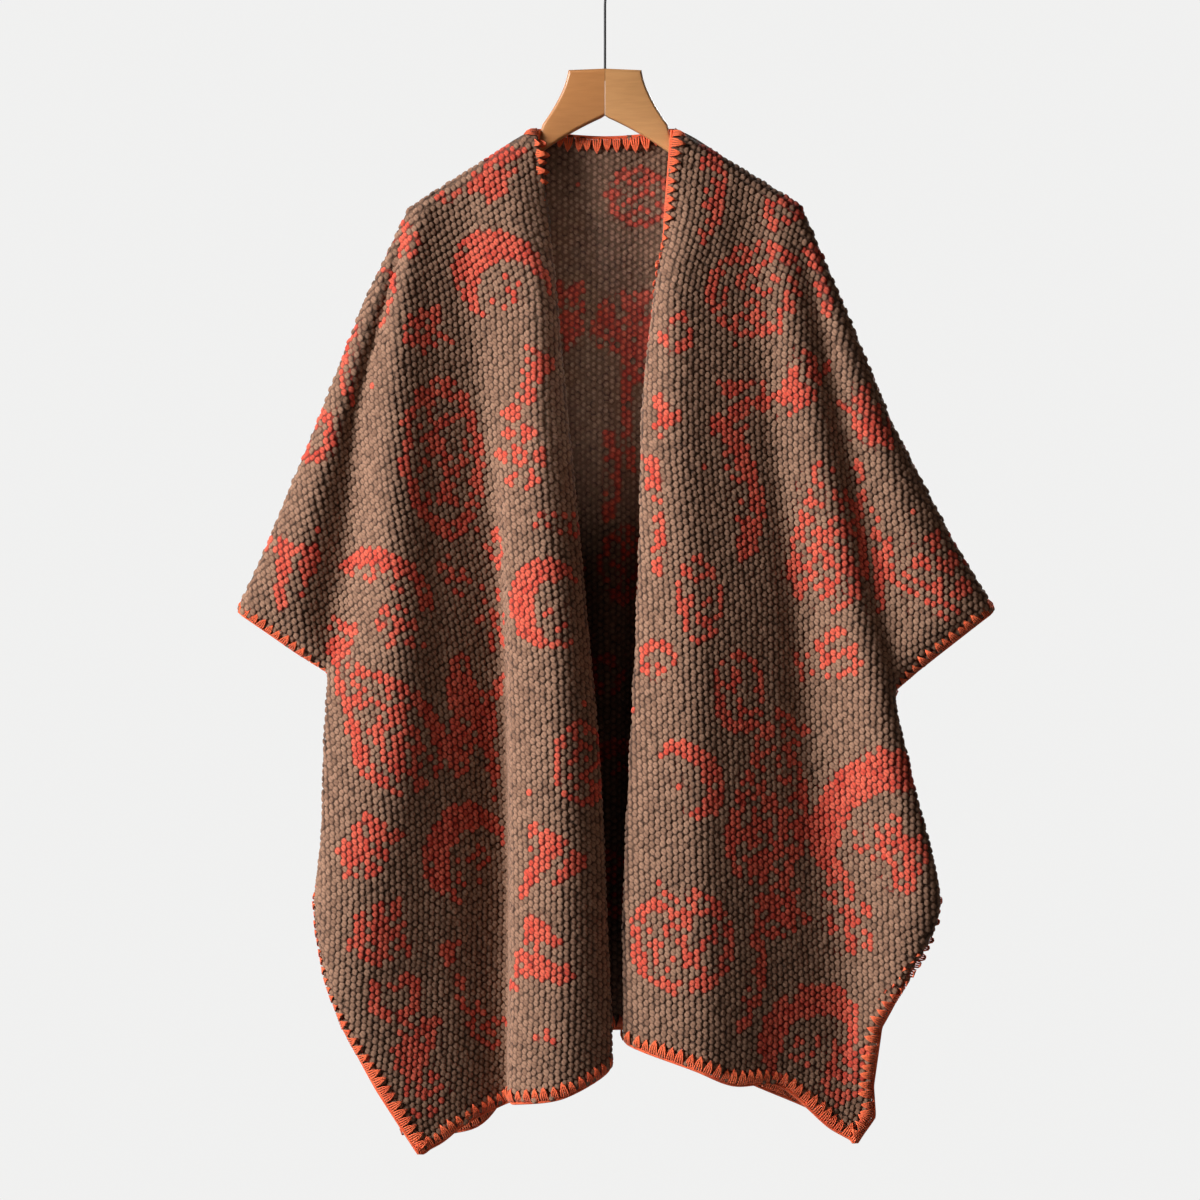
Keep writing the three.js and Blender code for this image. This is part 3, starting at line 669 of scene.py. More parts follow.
def stand_on_cloth(name, places, attributes, piece, finish, cell_size, sizes=(0.92, 1.1), seed=3):
    """Small pieces on the cloth, each in its own cell of the chart and a little off its size."""
    return made_plain(point_mesh(name, places, attributes), STANDING, {
        "Piece": piece, "Finish": finish, "Smallest": sizes[0], "Largest": sizes[1],
        "Seed": seed, "Cell Size": cell_size,
    })


def loose_piece(name, vertices, faces, spots):
    """A small piece that only stands on cloth. Each point's spot is its place in the piece."""
    mesh = bpy.data.meshes.new(name)
    mesh.from_pydata(vertices, [], faces)
    give_values(mesh, "spot", spots)
    return bpy.data.objects.new(name, mesh)


def dome(name, size, rings):
    """A small six-sided nub. rings are pairs of share of the radius and share of the height."""
    vertices = [(0, 0, size[2])]
    spots = [(0.5, 0.5, 1)]
    for k, (radius, height) in enumerate(rings):
        for side in range(6):
            angle = math.pi * (side / 3 + (k % 2) / 6)
            x, y = math.cos(angle) * radius, math.sin(angle) * radius
            vertices.append((x * size[0] / 2, y * size[1] / 2, height * size[2]))
            spots.append((0.5 + 0.48 * x, 0.5 + 0.48 * y, max(height, 0)))
    faces = [(0, 1 + side, 1 + (side + 1) % 6) for side in range(6)]
    for k in range(len(rings) - 1):
        upper, lower = 1 + 6 * k, 7 + 6 * k
        for side in range(6):
            ahead = (side + 1) % 6
            if k % 2 == 0:
                faces.append((upper + side, lower + side, upper + ahead))
                faces.append((lower + side, lower + ahead, upper + ahead))
            else:
                faces.append((upper + side, lower + side, lower + ahead))
                faces.append((upper + side, lower + ahead, upper + ahead))
    return loose_piece(name, [[c * MM for c in vertex] for vertex in vertices], faces, spots)


def worked(tree, operation, *values):
    """A sum. Each value is a socket to link or a constant."""
    return add(tree, "ShaderNodeMath", dict(enumerate(values)), operation=operation).outputs[0]


def attribute_of(tree, title, output="Fac"):
    return add(tree, "ShaderNodeAttribute", attribute_name=title).outputs[output]


def fibre_group():
    """Loose wool fibres: a fine height for the bump and a soft fleck for the colour."""
    tree = bpy.data.node_groups.new("Wool fibres", "ShaderNodeTree")
    for title, way in (("Scale", "INPUT"), ("Height", "OUTPUT"), ("Fleck", "OUTPUT")):
        tree.interface.new_socket(title, in_out=way, socket_type="NodeSocketFloat")
    given = add(tree, "NodeGroupInput").outputs
    fine = add(tree, "ShaderNodeTexNoise", {
        "Vector": object_place(tree), "Scale": given["Scale"], "Detail": 3, "Distortion": 1.2,
    })
    broad = add(tree, "ShaderNodeTexNoise", {"Vector": object_place(tree), "Scale": 45, "Detail": 2})
    both = worked(tree, "MULTIPLY", fine.outputs["Fac"], broad.outputs["Fac"])
    add(tree, "NodeGroupOutput", {
        "Height": fine.outputs["Fac"], "Fleck": worked(tree, "MULTIPLY", both, 3.2),
    })
    return tree


FIBRES = fibre_group()


def fibres_in(tree, scale):
    return add(tree, "ShaderNodeGroup", {"Scale": scale}, node_tree=FIBRES).outputs


BROWN_LIGHT = (0.328, 0.176, 0.109, 1)
BROWN_DARK = (0.198, 0.097, 0.056, 1)
CORAL_LIGHT = (0.70, 0.105, 0.056, 1)
CORAL_DARK = (0.56, 0.036, 0.016, 1)
# painted shade: a nub's colour is multiplied towards this at its foot, for the shade in the crevice
# between nubs
NUB_FOOT_SHADE = (0.18, 0.115, 0.08, 1)
SOFT_SHARE = 0.62  # loose fibres blur a nub's own form by this much


def nub_material():
    """Two plies of soft yarn, evened out by loose fibres. Painted shade darkens each nub's foot, in the
    crevice between nubs, and the groove between the plies.
    """
    material, tree, shader = new_material("wool_nubs", 0.92, 0.12)
    link = tree.links.new
    fibres = fibres_in(tree, 700)
    fleck = worked(tree, "MULTIPLY_ADD", fibres["Fleck"], 0.5, -0.15)
    shade = worked(tree, "ADD", attribute_of(tree, "tone"), fleck)
    brown = mixed(tree, shade, BROWN_DARK, BROWN_LIGHT)
    coral = mixed(tree, shade, CORAL_DARK, CORAL_LIGHT)
    cloth = mixed(tree, attribute_of(tree, "coral"), brown, coral)
    spot = add(tree, "ShaderNodeSeparateXYZ", {0: attribute_of(tree, "spot", "Vector")}).outputs
    # Painted shade: each nub is darkened from the middle of its side down to its foot, where the
    # crevice between nubs lies in shade.
    foot_shade_fade = add(tree, "ShaderNodeMapRange", {"Value": spot["Z"], "From Min": 0.12, "From Max": 0.80})
    shaded_foot = mixed(tree, 1.0, cloth, NUB_FOOT_SHADE, "MULTIPLY")
    colour = mixed(tree, foot_shade_fade.outputs["Result"], shaded_foot, cloth)
    down = worked(tree, "MULTIPLY", spot["Y"], 13.0)
    ply = worked(tree, "SINE", worked(tree, "MULTIPLY_ADD", spot["X"], 9.0, down))
    # Painted shade: a dark line in the groove between the two plies, where the twist's bump also dips.
    between = worked(tree, "MULTIPLY", worked(tree, "LESS_THAN", ply, -0.45), 0.28)
    link(mixed(tree, between, colour, (0.05, 0.03, 0.02, 1)), shader.inputs["Base Color"])
    height = worked(tree, "ADD", worked(tree, "MULTIPLY", ply, 0.22), fibres["Height"])
    soft = add(tree, "ShaderNodeMix", {
        0: SOFT_SHARE, 4: bumped(tree, height, 0.0009, 0.75),
        5: attribute_of(tree, "facing", "Vector"),
    }, data_type="VECTOR")
    whole = add(tree, "ShaderNodeVectorMath", {0: soft.outputs[1]}, operation="NORMALIZE")
    link(whole.outputs["Vector"], shader.inputs["Normal"])
    return material


def weave_material():
    """The ground under the nubs, darker in the gaps between them, partly its own colour and partly
    painted shade, and the closer weave of the inner face, whose knots carry painted shade towards their
    rims.
    """
    material, tree, shader = new_material("wool_ground", 0.95, 0.08)
    link = tree.links.new
    fibres = fibres_in(tree, 900)
    chart = add(tree, "ShaderNodeUVMap", uv_map="weave")
    knots = add(tree, "ShaderNodeTexVoronoi", {
        "Vector": chart.outputs["UV"], "Scale": 1.0, "Randomness": 0.12,
    })
    # Painted shade: each knot of the inner face darkens from its round top towards its rim, where it
    # meets the next. The same rise also drives the bump.
    knot_rise_and_shade = worked(tree, "SUBTRACT", 0.75, knots.outputs["Distance"])
    shade = worked(tree, "ADD", worked(tree, "MULTIPLY", knot_rise_and_shade, 0.9), fibres["Fleck"])
    shade = worked(tree, "SUBTRACT", shade, 0.35)
    brown = mixed(tree, shade, (0.10, 0.065, 0.045, 1), BROWN_LIGHT)
    coral = mixed(tree, shade, (0.30, 0.022, 0.010, 1), CORAL_LIGHT)
    share = attribute_of(tree, "coral")
    inner = mixed(tree, share, brown, coral)
    # The outer face shows only in the gaps between nubs: a dark brown and coral, partly the ground's
    # own colour and partly painted shade.
    ground_and_gap_shade = mixed(tree, share, (0.132, 0.067, 0.038, 1), (0.26, 0.024, 0.012, 1))
    link(mixed(tree, attribute_of(tree, "inner_face"), ground_and_gap_shade, inner), shader.inputs["Base Color"])
    height = worked(tree, "ADD", worked(tree, "MULTIPLY", knot_rise_and_shade, 3.0), fibres["Height"])
    link(bumped(tree, height, 0.0008), shader.inputs["Normal"])
    return material


WOOL_NUBS = nub_material()
WOOL_GROUND = weave_material()
TALL_NUB = dome("tall_nub", NUB_SIZE, ((0.72, 0.72), (1.0, -0.15)))
LOW_NUB = dome("low_nub", (8.6, 9.6, 2.4), ((1.0, -0.35),))
CHART_RIM = 0.01  # the chart of a ground cloth stays this far from the rim of its half


def ground_shell(name, grid, turn, rows, motifs, front, home, inner_motifs=None):
    """The ground cloth: a closed thin wall on the panel's own form."""
    turned = len(TURN_ROWS)  # every row is kept here, and every other one below
    kept = np.concatenate((np.arange(turned), np.arange(turned + 1, len(grid), 2), (len(grid) - 1,)))
    body = grid[np.unique(kept)]
    down, across = np.gradient(body, axis=0), np.gradient(body, axis=1)
    normal = np.cross(across, down) * turn
    seam = np.abs(body[..., 1]) < 2 * SEAM_HALF_GAP
    normal[..., 1][seam] = 0
    normal = unit(normal)
    high, wide = body.shape[:2]
    count = high * wide
    vertices = np.concatenate(((body + normal * SHELL_HALF).reshape(-1, 3),
                               (body - normal * SHELL_HALF).reshape(-1, 3)))
    index = np.arange(count).reshape(high, wide)
    outer = np.stack((index[:-1, :-1], index[:-1, 1:], index[1:, 1:], index[1:, :-1]), axis=2)
    outer = outer.reshape(-1, 4)
    rim = np.concatenate((index[0, ::-1], index[1:, 0], index[-1, 1:], index[-2:0:-1, -1]))
    ahead = np.roll(rim, -1)
    sides = np.stack((rim, ahead, ahead + count, rim + count), axis=1)
    faces = np.concatenate((outer, outer[:, ::-1] + count, sides))
    if turn < 0:
        faces = faces[:, ::-1]
    mesh = bpy.data.meshes.new(name)
    mesh.from_pydata((vertices * MM).tolist(), [], faces.tolist())
    steps = np.linalg.norm(np.diff(body, axis=1), axis=2)
    along = np.concatenate((np.zeros((high, 1)), np.cumsum(steps, axis=1)), axis=1)
    fall = HIGH_SHOULDER - body[..., 2]
    columns, levels = along / COLUMN_STEP, fall / ROW_STEP
    weave = np.stack((columns + levels, columns - levels), axis=2) / 2
    chart = np.stack((CHART_RIM + (0.5 - 2 * CHART_RIM) * along / along.max(),
                      CHART_RIM + (1 - 2 * CHART_RIM) * fall / fall.max()), axis=2)
    corners = np.empty(len(mesh.loops), int)
    mesh.loops.foreach_get("vertex_index", corners)
    for title, values, shift in (("weave", weave, 0.0), ("OFBake", chart, 0.5)):
        flat = values.reshape(-1, 2)
        flat = np.concatenate((flat, flat + np.array((shift, 0))))
        layer = mesh.uv_layers.new(name=title)
        layer.data.foreach_set("uv", flat[corners].ravel())
    spots = {"along": (along - along[:, [home]]).ravel(), "fall": fall.ravel()}
    give_values(mesh, "coral", np.concatenate([
        coral_share(spots, rows, seen, turn, front) for seen in (motifs, inner_motifs or motifs)]))
    bare = 0.0 if inner_motifs else 1.0  # an inner face without nubs of its own shows the weave
    give_values(mesh, "inner_face", np.repeat((0.0, bare), count))
    mesh.materials.append(WOOL_GROUND)
    mesh.shade_smooth()
    mesh.update()
    return placed(name, mesh)


def cover_with_nubs(name, rows, motifs, turn, seed, nub, face=1, keep=None, front=-1):
    """One face's nubs as a piece. Hand-spun yarn leaves each a little off its place and lean."""
    nubs = nub_places(rows, turn, face)
    if keep is not None:
        wanted = keep(nubs)
        nubs = {title: values[wanted] for title, values in nubs.items()}
    chance = np.random.default_rng(seed)
    count = len(nubs["along"])
    coral = chance.random(count) < coral_share(nubs, rows, motifs, turn, front)
    tone = chance.random(count)
    sideways = np.cross(nubs["upwards"], nubs["outwards"])
    stray = chance.normal(0, NUB_STRAY, (count, 2))
    place = nubs["place"] + sideways * stray[:, :1] + nubs["upwards"] * stray[:, 1:]
    place = place - nubs["outwards"] * chance.uniform(0, NUB_SINK, (count, 1))
    lean = chance.normal(0, NUB_LEAN, (count, 2))
    outwards = nubs["outwards"] + sideways * lean[:, :1] + nubs["upwards"] * lean[:, 1:]
    upwards = nubs["upwards"] + sideways * chance.normal(0, NUB_LEAN, (count, 1))
    cell = nubs["cell"] - nubs["cell"].min(axis=0)
    counts = cell.max(axis=0) + 1
    corner = np.column_stack((cell / counts, np.zeros(count)))
    attributes = {"outwards": outwards, "upwards": upwards, "facing": nubs["outwards"],
                  "coral": coral, "tone": tone, "cell": corner}
    cell_size = (1 / counts[0], 1 / counts[1], 0)
    return stand_on_cloth(name, place, attributes, nub, WOOL_NUBS, cell_size)


def front_panel(name, half, motifs, turn, seed):
    """A front's grid, its ground cloth and its nubs."""
    grid = front_grid(half)
    rows = cloth_rows(grid, FRONT_HOME)
    return (grid, ground_shell(name + "_cloth", grid, turn, rows, motifs, -1, FRONT_HOME),
            cover_with_nubs(name + "_nubs", rows, motifs, turn, seed, TALL_NUB))


right_grid, right_cloth, right_nubs = front_panel(
    "right_front", RIGHT_FRONT, RIGHT_FRONT_MOTIFS, 1, seed=11)
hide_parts("right_front")
for wool in (right_cloth, right_nubs):
    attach(wool, "root")

# ---------------------------------------------------------------- left front panel
# The other half of the front, cut and woven as the first. Its column stands nearer the opening,
# its ridge lies further out, and its hem dips a little less at the side.
LEFT_FRONT = {
    "neck": (69, 0),
    "tip": (193, 76),
    "cuff": (484, 563),
    "hem": (908, 911, 938, 953, 955, 999, 1007, 1011, 1014, 1016),
    "sections": (
        (90, (62, -14), (66, -18), (86, -24), (114, -20), (140, -14),
         (158, -13), (176, -14), (192, -12), (195, -11), (197.5, -10)),
        (180, (57, -5), (51, -15), (67, -31), (102, -25), (146, -14),
         (164, -15), (187, -20), (211, -10), (226, -14), (236.5, -10)),
        (300, (62, 4), (39.5, -18), (67, -38), (106, -30), (146, -18),
         (170, -13), (210, -26), (236, -12), (266, -20), (285.5, -10)),
        (420, (70, 5), (37, -22), (76, -44), (114, -36), (156, -22),
         (187, -12), (236, -28), (262, -14), (316, -24), (348, -11)),
        (484, (72, 4), (34.5, -24), (80, -48), (118, -39), (162, -23),
         (196, -10), (250, -29), (275, -16), (340, -25), (387, -12)),
        (528, (73, 3), (33, -25), (81, -51), (119, -42), (164, -24),
         (201, -9), (263, -32), (285, -19), (308, -20), (330, -15)),
        (563, (74, 2), (31, -27), (82, -53), (120, -43), (165, -25),
         (204, -9), (269, -34), (284, -25), (286, -14), (288, -4)),
        (640, (72, 0), (27, -30), (85, -57), (122, -46), (167, -26),
         (212, -8), (286, -37), (300, -29), (284, -10), (254, -4)),
        (775, (66, -3), (21, -33), (89, -60), (125, -49), (172, -27),
         (231, -7), (312, -35), (327, -31), (330, -22), (329, -14)),
        (850, (64, -5), (20.5, -34), (92, -61), (127, -50), (175, -27),
         (238, -5), (286, -22), (298, -24), (300, -22), (301, -19)),
        (900, (62, -6), (20.5, -34), (93, -61), (128, -50), (176, -27),
         (241, -5), (258, -11), (267, -15), (270, -16), (273, -16)),
        (960, (61, -7), (19.5, -34), (90, -60), (127, -49), (172, -28),
         (232, -10), (249, -9), (259, -9), (262, -9), (265, -9)),
        (990, (60, -8), (18.5, -34), (88, -60), (126, -49), (170, -28),
         (228, -13), (246, -10), (257, -9), (262, -9), (267, -9)),
        (1030, (60, -8), (18, -34), (86, -60), (124, -48), (168, -28),
         (214, -17), (226, -14), (232, -13), (236, -13), (240, -12)),
    ),
}
LEFT_FRONT_MOTIFS = (
    (arc, 88, 66, 34, 60, -8), (oval, 146, 165, 48, 48, 0), (curl, 73, 206, 20, 26, 0),
    (hook_line, 212, 158, 22, 40, -25), (fan, 152, 274, 32, 36, 70), (sprig, 196, 262, 24, 34, 30),
    (blob, 60, 292, 16, 24, 0), (arc, 108, 366, 50, 78, -8), (hook_line, 49, 392, 20, 60, 0),
    (paisley, 226, 415, 46, 74, 12), (sprig, 266, 298, 24, 34, -35), (flower, 340, 438, 36, 34, 0),
    (rows_of_dots, 322, 470, 36, 16, 30), (blob, 276, 436, 15, 60, 0), (oval, 94, 474, 22, 44, 0),
    (oval, 132, 566, 28, 42, 0), (curl, 50, 538, 22, 26, 180), (rows_of_dots, 224, 530, 36, 26, -15),
    (crescent, 86, 652, 30, 42, 150), (paisley, 165, 680, 48, 84, 14), (crescent, 268, 692, 58, 78, 48),
    (blob, 296, 730, 26, 44, -20), (oval, 76, 812, 54, 52, 0), (flower, 245, 792, 24, 42, -20),
    (sprig, 168, 786, 32, 28, 60), (crescent, 202, 906, 46, 58, 62), (sprig, 240, 950, 30, 34, 10),
    (arc, 134, 852, 26, 56, 12), (sprig, 286, 258, 18, 26, 10), (flower, 118, 28, 18, 22, 0),
    (curl, 182, 84, 22, 26, 30), (hook_line, 252, 366, 14, 34, 0), (rows_of_dots, 184, 600, 22, 14, 40),
)
left_grid, left_cloth, left_nubs = front_panel(
    "left_front", LEFT_FRONT, LEFT_FRONT_MOTIFS, -1, seed=21)
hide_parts("left_front")
for wool in (left_cloth, left_nubs):
    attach(wool, "root")

# ---------------------------------------------------------------- back panel
# One width of the same cloth, from cuff to cuff. It falls in an outer ridge, a trough and a column
# on each side and a shallow pleat down the middle. The opening shows its closer inner face.
BACK_ARM_SHARES = {
    "outer": 1, "sleeve": 0.983, "fold": 0.965, "ridge": 0.85, "trough": 0.5, "neck": 0.035,
}
BACK_LINES = ("outer", "sleeve", "fold", "ridge", "trough", "neck", "column")
BACK_SPLITS = (10, 8, 8, 12, 9, 9, 6)
BACK_FOLD_LINES = ("ridge", "trough", "neck", "column", "centre")
# fall, then across and depth of each of BACK_FOLD_LINES
BACK_FOLDS = (
    (90, (176, 15), (142, 13), (84, 17), (40, 22), (1, 19)),
    (300, (206, 36), (150, 15), (92, 28), (37, 36), (1, 24)),
    (547, (236, 50), (142, 20), (94, 38), (35, 47), (2, 27)),
    (775, (248, 54), (138, 20), (96, 46), (37, 54), (3, 29)),
    (1030, (196, 46), (128, 22), (88, 48), (38, 57), (3, 30)),
)
BACK_HEM = {
    -1: (1020, 1019, 1017, 1013, 1001, 958, 912),
    1: (1011, 1009, 1004, 985, 950, 925, 908),
    "centre": 904,
}
NECK_EDGE = {"column": (36, 12), "centre": (1, 14)}
BACK_INSET = 3  # below the cuffs the back's side edges lie this far inside the front's
BACK_FLATTER = 0.92  # the back's outer lines are this share as deep as the front's
BACK_REST = 1.5  # and lie this far back of the same depth


def back_places(half, side, line):
    """The line's across and depth at the falls of the front's sections."""
    falls = np.array([row[0] for row in half["sections"]], float)
    if line in BACK_FOLD_LINES:
        stations = [row[0] for row in BACK_FOLDS]
        k = BACK_FOLD_LINES.index(line) + 1
        across = eased_through(stations, [row[k][0] for row in BACK_FOLDS], falls)
        depth = eased_through(stations, [row[k][1] for row in BACK_FOLDS], falls)
        return falls, np.stack((side * across, depth), axis=1)
    k = FRONT_LINES.index(line) + 1
    places = []
    for row in half["sections"]:
        inset = BACK_INSET if row[0] > half["cuff"][0] else 0
        places.append((row[k][0] - side * inset, BACK_REST - BACK_FLATTER * row[k][1]))
    return falls, np.array(places)


def back_half(half, side):
    hem = BACK_HEM[side]
    shares = row_shares(half, hem[0])
    lines = []
    for k, line in enumerate(BACK_LINES):
        if line == "column":
            start = (side * NECK_EDGE["column"][0], NECK_EDGE["column"][1])
        else:
            start = start_on_arm(half, BACK_ARM_SHARES[line])
        fall = start[1] + (hem[k] - start[1]) * shares
        falls, places = back_places(half, side, line)
        x, y = place_on_line(start, falls, places, fall, straight=line == "outer")
        lines.append(np.stack((x, y, HIGH_SHOULDER - fall), axis=1))
    return lines, shares


def back_grid():
    right_lines, right_shares = back_half(RIGHT_FRONT, -1)
    left_lines, left_shares = back_half(LEFT_FRONT, 1)
    start = NECK_EDGE["centre"]
    fall = start[1] + (BACK_HEM["centre"] - start[1]) * (right_shares + left_shares) / 2
    falls, places = back_places(RIGHT_FRONT, 1, "centre")
    x, y = place_on_line(start, falls, places, fall)
    centre = np.stack((x, y, HIGH_SHOULDER - fall), axis=1)
    controls = np.stack((*right_lines, centre, *left_lines[::-1]), axis=1)
    shoulders = [shoulder_line(half, BACK_ARM_SHARES["neck"]) for half in (RIGHT_FRONT, LEFT_FRONT)]
    return settled_grid(controls, BACK_SPLITS + BACK_SPLITS[::-1], shoulders, 1)


BACK_HOME = sum(BACK_SPLITS)
INNER_MOTIFS = (
    (oval, 35, 70, 34, 30, 0), (blob, 5, 205, 20, 36, 20), (sprig, 30, 210, 22, 46, 0),
    (hook_line, 25, 290, 18, 60, 0), (blob, 40, 240, 16, 40, 10), (arc, -8, 350, 26, 50, 180),
    (sprig, -35, 190, 20, 34, 0), (oval, 18, 440, 26, 40, 0), (curl, 0, 545, 22, 26, 0),
    (crescent, 12, 640, 26, 34, 90), (oval, 5, 760, 26, 34, 0), (oval, -120, 300, 40, 40, 0),
    (oval, 120, 320, 40, 40, 0), (sprig, -120, 520, 34, 40, 0), (sprig, 120, 540, 34, 40, 0),
    (crescent, -110, 720, 40, 44, 30), (crescent, 110, 740, 40, 44, -30),
)


MOTIF_STEP = 86  # across, between motifs of the back
MOTIF_DROP = 98  # from one row of them to the next
FIRST_DROP = 62
MOTIF_TURNS = (-120, -60, -20, 0, 15, 40, 150)
MOTIFS_KEPT = 0.88


def outer_back_motifs():
    """The same motifs in half-drop rows, each a little off its place, for the cape's back."""
    chance = np.random.default_rng(77)
    forms = ((crescent, 46, 42), (oval, 40, 50), (sprig, 26, 34), (paisley, 44, 62), (curl, 24, 28),
             (flower, 24, 26), (fan, 34, 32), (arc, 44, 54), (hook_line, 24, 42), (sprig, 30, 36))
    motifs = []
    for row in range(10):
        for column in range(-4, 5):
            form, wide, tall = forms[(row * 7 + column * 3) % len(forms)]
            x = (column + 0.5 * (row % 2)) * MOTIF_STEP + chance.uniform(-14, 14)
            fall = FIRST_DROP + row * MOTIF_DROP + chance.uniform(-16, 16)
            turn = chance.choice(MOTIF_TURNS)
            if chance.random() < MOTIFS_KEPT:
                motifs.append((form, x, fall, wide, tall, turn))
    return tuple(motifs)


back = back_grid()
back_rows = cloth_rows(back, BACK_HOME)
OUTER_MOTIFS = outer_back_motifs()
back_cloth = ground_shell("back_cloth", back, 1, back_rows, OUTER_MOTIFS, 1, BACK_HOME, INNER_MOTIFS)
back_nubs_right = cover_with_nubs("back_nubs_right", back_rows, OUTER_MOTIFS, 1, 31, TALL_NUB,
                                  keep=lambda nubs: nubs["along"] < 0, front=1)
back_nubs_left = cover_with_nubs("back_nubs_left", back_rows, OUTER_MOTIFS, 1, 32, TALL_NUB,
                                 keep=lambda nubs: nubs["along"] >= 0, front=1)
back_inner_nubs = cover_with_nubs("back_inner_nubs", back_rows, INNER_MOTIFS, 1, 33, LOW_NUB,
                                  face=-1, front=1)
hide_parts("back")
for wool in (back_cloth, back_nubs_right, back_nubs_left, back_inner_nubs):
    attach(wool, "root")

# ---------------------------------------------------------------- blanket stitch
# Every cut edge is bound in orange yarn. Fans of loose strands reach a finger's width into the
# cloth on both faces, and the yarn itself runs from one to the next along the edge.
STITCH_STEP = 9.4  # from one fan to the next
STITCH_REACH = 13.0  # from the cloth's edge to the hole that a fan comes from
STITCH_STRAY = 0.8  # how far a fan sits off its place
STRAND_FEET = (-3.5, -1.2, 1.2, 3.5)  # where a fan's strands cross the edge
STRAND_RADII = (0.45, 0.75, 0.95, 1.0, 1.0, 0.95, 0.75, 0.45)
EDGE_OUT = 1.7  # the edge yarn's centre lies this far outside the cloth's edge
EDGE_YARN = 1.75  # its radius
EDGE_YARN_STEP = 2.6  # between the points that it follows
LEAN_IN = 0.25  # how far a fan leans along the cloth's own lines


def edge_path(grid, turn, pieces):
    """Place, inward and outward directions along some of a grid's edges, joined end to end."""
    down, across = np.gradient(grid, axis=0), np.gradient(grid, axis=1)
    normal = np.cross(across, down) * turn
    places, inwards, outwards = [], [], []
    for rows, columns, inner_rows, inner_columns in pieces:
        place = grid[rows, columns]
        inward = grid[inner_rows, inner_columns] - place
        places.append(place)
        inwards.append(unit(inward))
        outwards.append(unit(normal[rows, columns]))
    places, inwards, outwards = (np.concatenate(part) for part in (places, inwards, outwards))
    square = np.cross(outwards, np.gradient(places, axis=0))  # at a right angle to the edge
    square *= np.sign((square * inwards).sum(axis=1))[:, None]
    return places, unit(square) + LEAN_IN * inwards, outwards


def spaced(path, step, start=0.5):
    """A path at even steps, from a share of a step after its start."""
    places, inwards, outwards = path
    lengths = np.linalg.norm(np.diff(places, axis=0), axis=1)
    along = np.concatenate(([0], np.cumsum(lengths)))
    at = np.arange(start * step, along[-1] - start * step, step)

    def read(values):
        return np.stack([np.interp(at, along, values[:, k]) for k in range(3)], axis=1)

    return read(places), read(inwards), read(outwards)


def strand_fan(name):
    """One stitch: four strands from a hole in the cloth, round the edge, to the hole behind."""
    vertices, faces, spots = [], [], []
    for strand, foot in enumerate(STRAND_FEET):
        reach = STITCH_REACH - 0.25 * abs(foot)
        half = ((0.05 * foot, reach, 3.2), (0.42 * foot, 0.8 * reach, 5.3),
                (0.85 * foot, 0.4 * reach, 5.3), (foot, -0.8, 3.0))
        path = list(half) + [(x, y, -z) for x, y, z in reversed(half)]
        first = len(vertices)
        for k, (x, y, z) in enumerate(path):
            ahead, behind = path[min(k + 1, 7)], path[max(k - 1, 0)]
            heading = Vector(ahead) - Vector(behind)
            side = heading.cross(Vector((1, 0, 0))).normalized()
            for turn in range(3):
                angle = 2 * math.pi * turn / 3 + 0.5
                sideways = Vector((1, 0, 0)) * math.cos(angle) + side * math.sin(angle)
                vertices.append(tuple((Vector((x, y, z)) + sideways * STRAND_RADII[k]) * MM))
                spots.append((0.02 + (strand + turn / 3) / 4 * 0.96, 0.02 + 0.96 * k / 7, 0.5))
        for k in range(7):
            for turn in range(3):
                a, b = first + 3 * k + turn, first + 3 * k + (turn + 1) % 3
                faces.append((a, b, b + 3, a + 3))
        faces.append((first + 2, first + 1, first))
        faces.append((first + 21, first + 22, first + 23))
    fan = loose_piece(name, vertices, faces, spots)
    turned = bmesh.new()
    turned.from_mesh(fan.data)
    bmesh.ops.recalc_face_normals(turned, faces=turned.faces)
    turned.to_mesh(fan.data)
    turned.free()
    return fan


def yarn_material():
    material, tree, shader = new_material("edge_yarn", 0.85, 0.1)
    fibres = fibres_in(tree, 1100)
    colour = mixed(tree, fibres["Fleck"], (0.66, 0.060, 0.020, 1), (0.90, 0.150, 0.045, 1))
    tree.links.new(colour, shader.inputs["Base Color"])
    tree.links.new(bumped(tree, fibres["Height"], 0.0005), shader.inputs["Normal"])
    return material


def yarn_tree():
    """A round yarn along a line of points."""
    tree, given = new_tree("Yarn along an edge", {"Radius": "Float", "Sides": "Int"})
    line = add(tree, "GeometryNodeMeshToCurve", {"Mesh": given["Geometry"]})
    ring = add(tree, "GeometryNodeCurvePrimitiveCircle", {
        "Resolution": given["Sides"], "Radius": given["Radius"],
    })
    yarn = add(tree, "GeometryNodeCurveToMesh", {
        "Curve": line.outputs["Curve"], "Profile Curve": ring.outputs["Curve"], "Fill Caps": True,
    })
    real = add(tree, "GeometryNodeRealizeInstances", {"Geometry": yarn.outputs["Mesh"]})
    finish_tree(tree, given, real.outputs["Geometry"])
    return tree


EDGE_YARN_FINISH = yarn_material()
STRAND_FAN = strand_fan("strand_fan")
YARN_ALONG = yarn_tree()


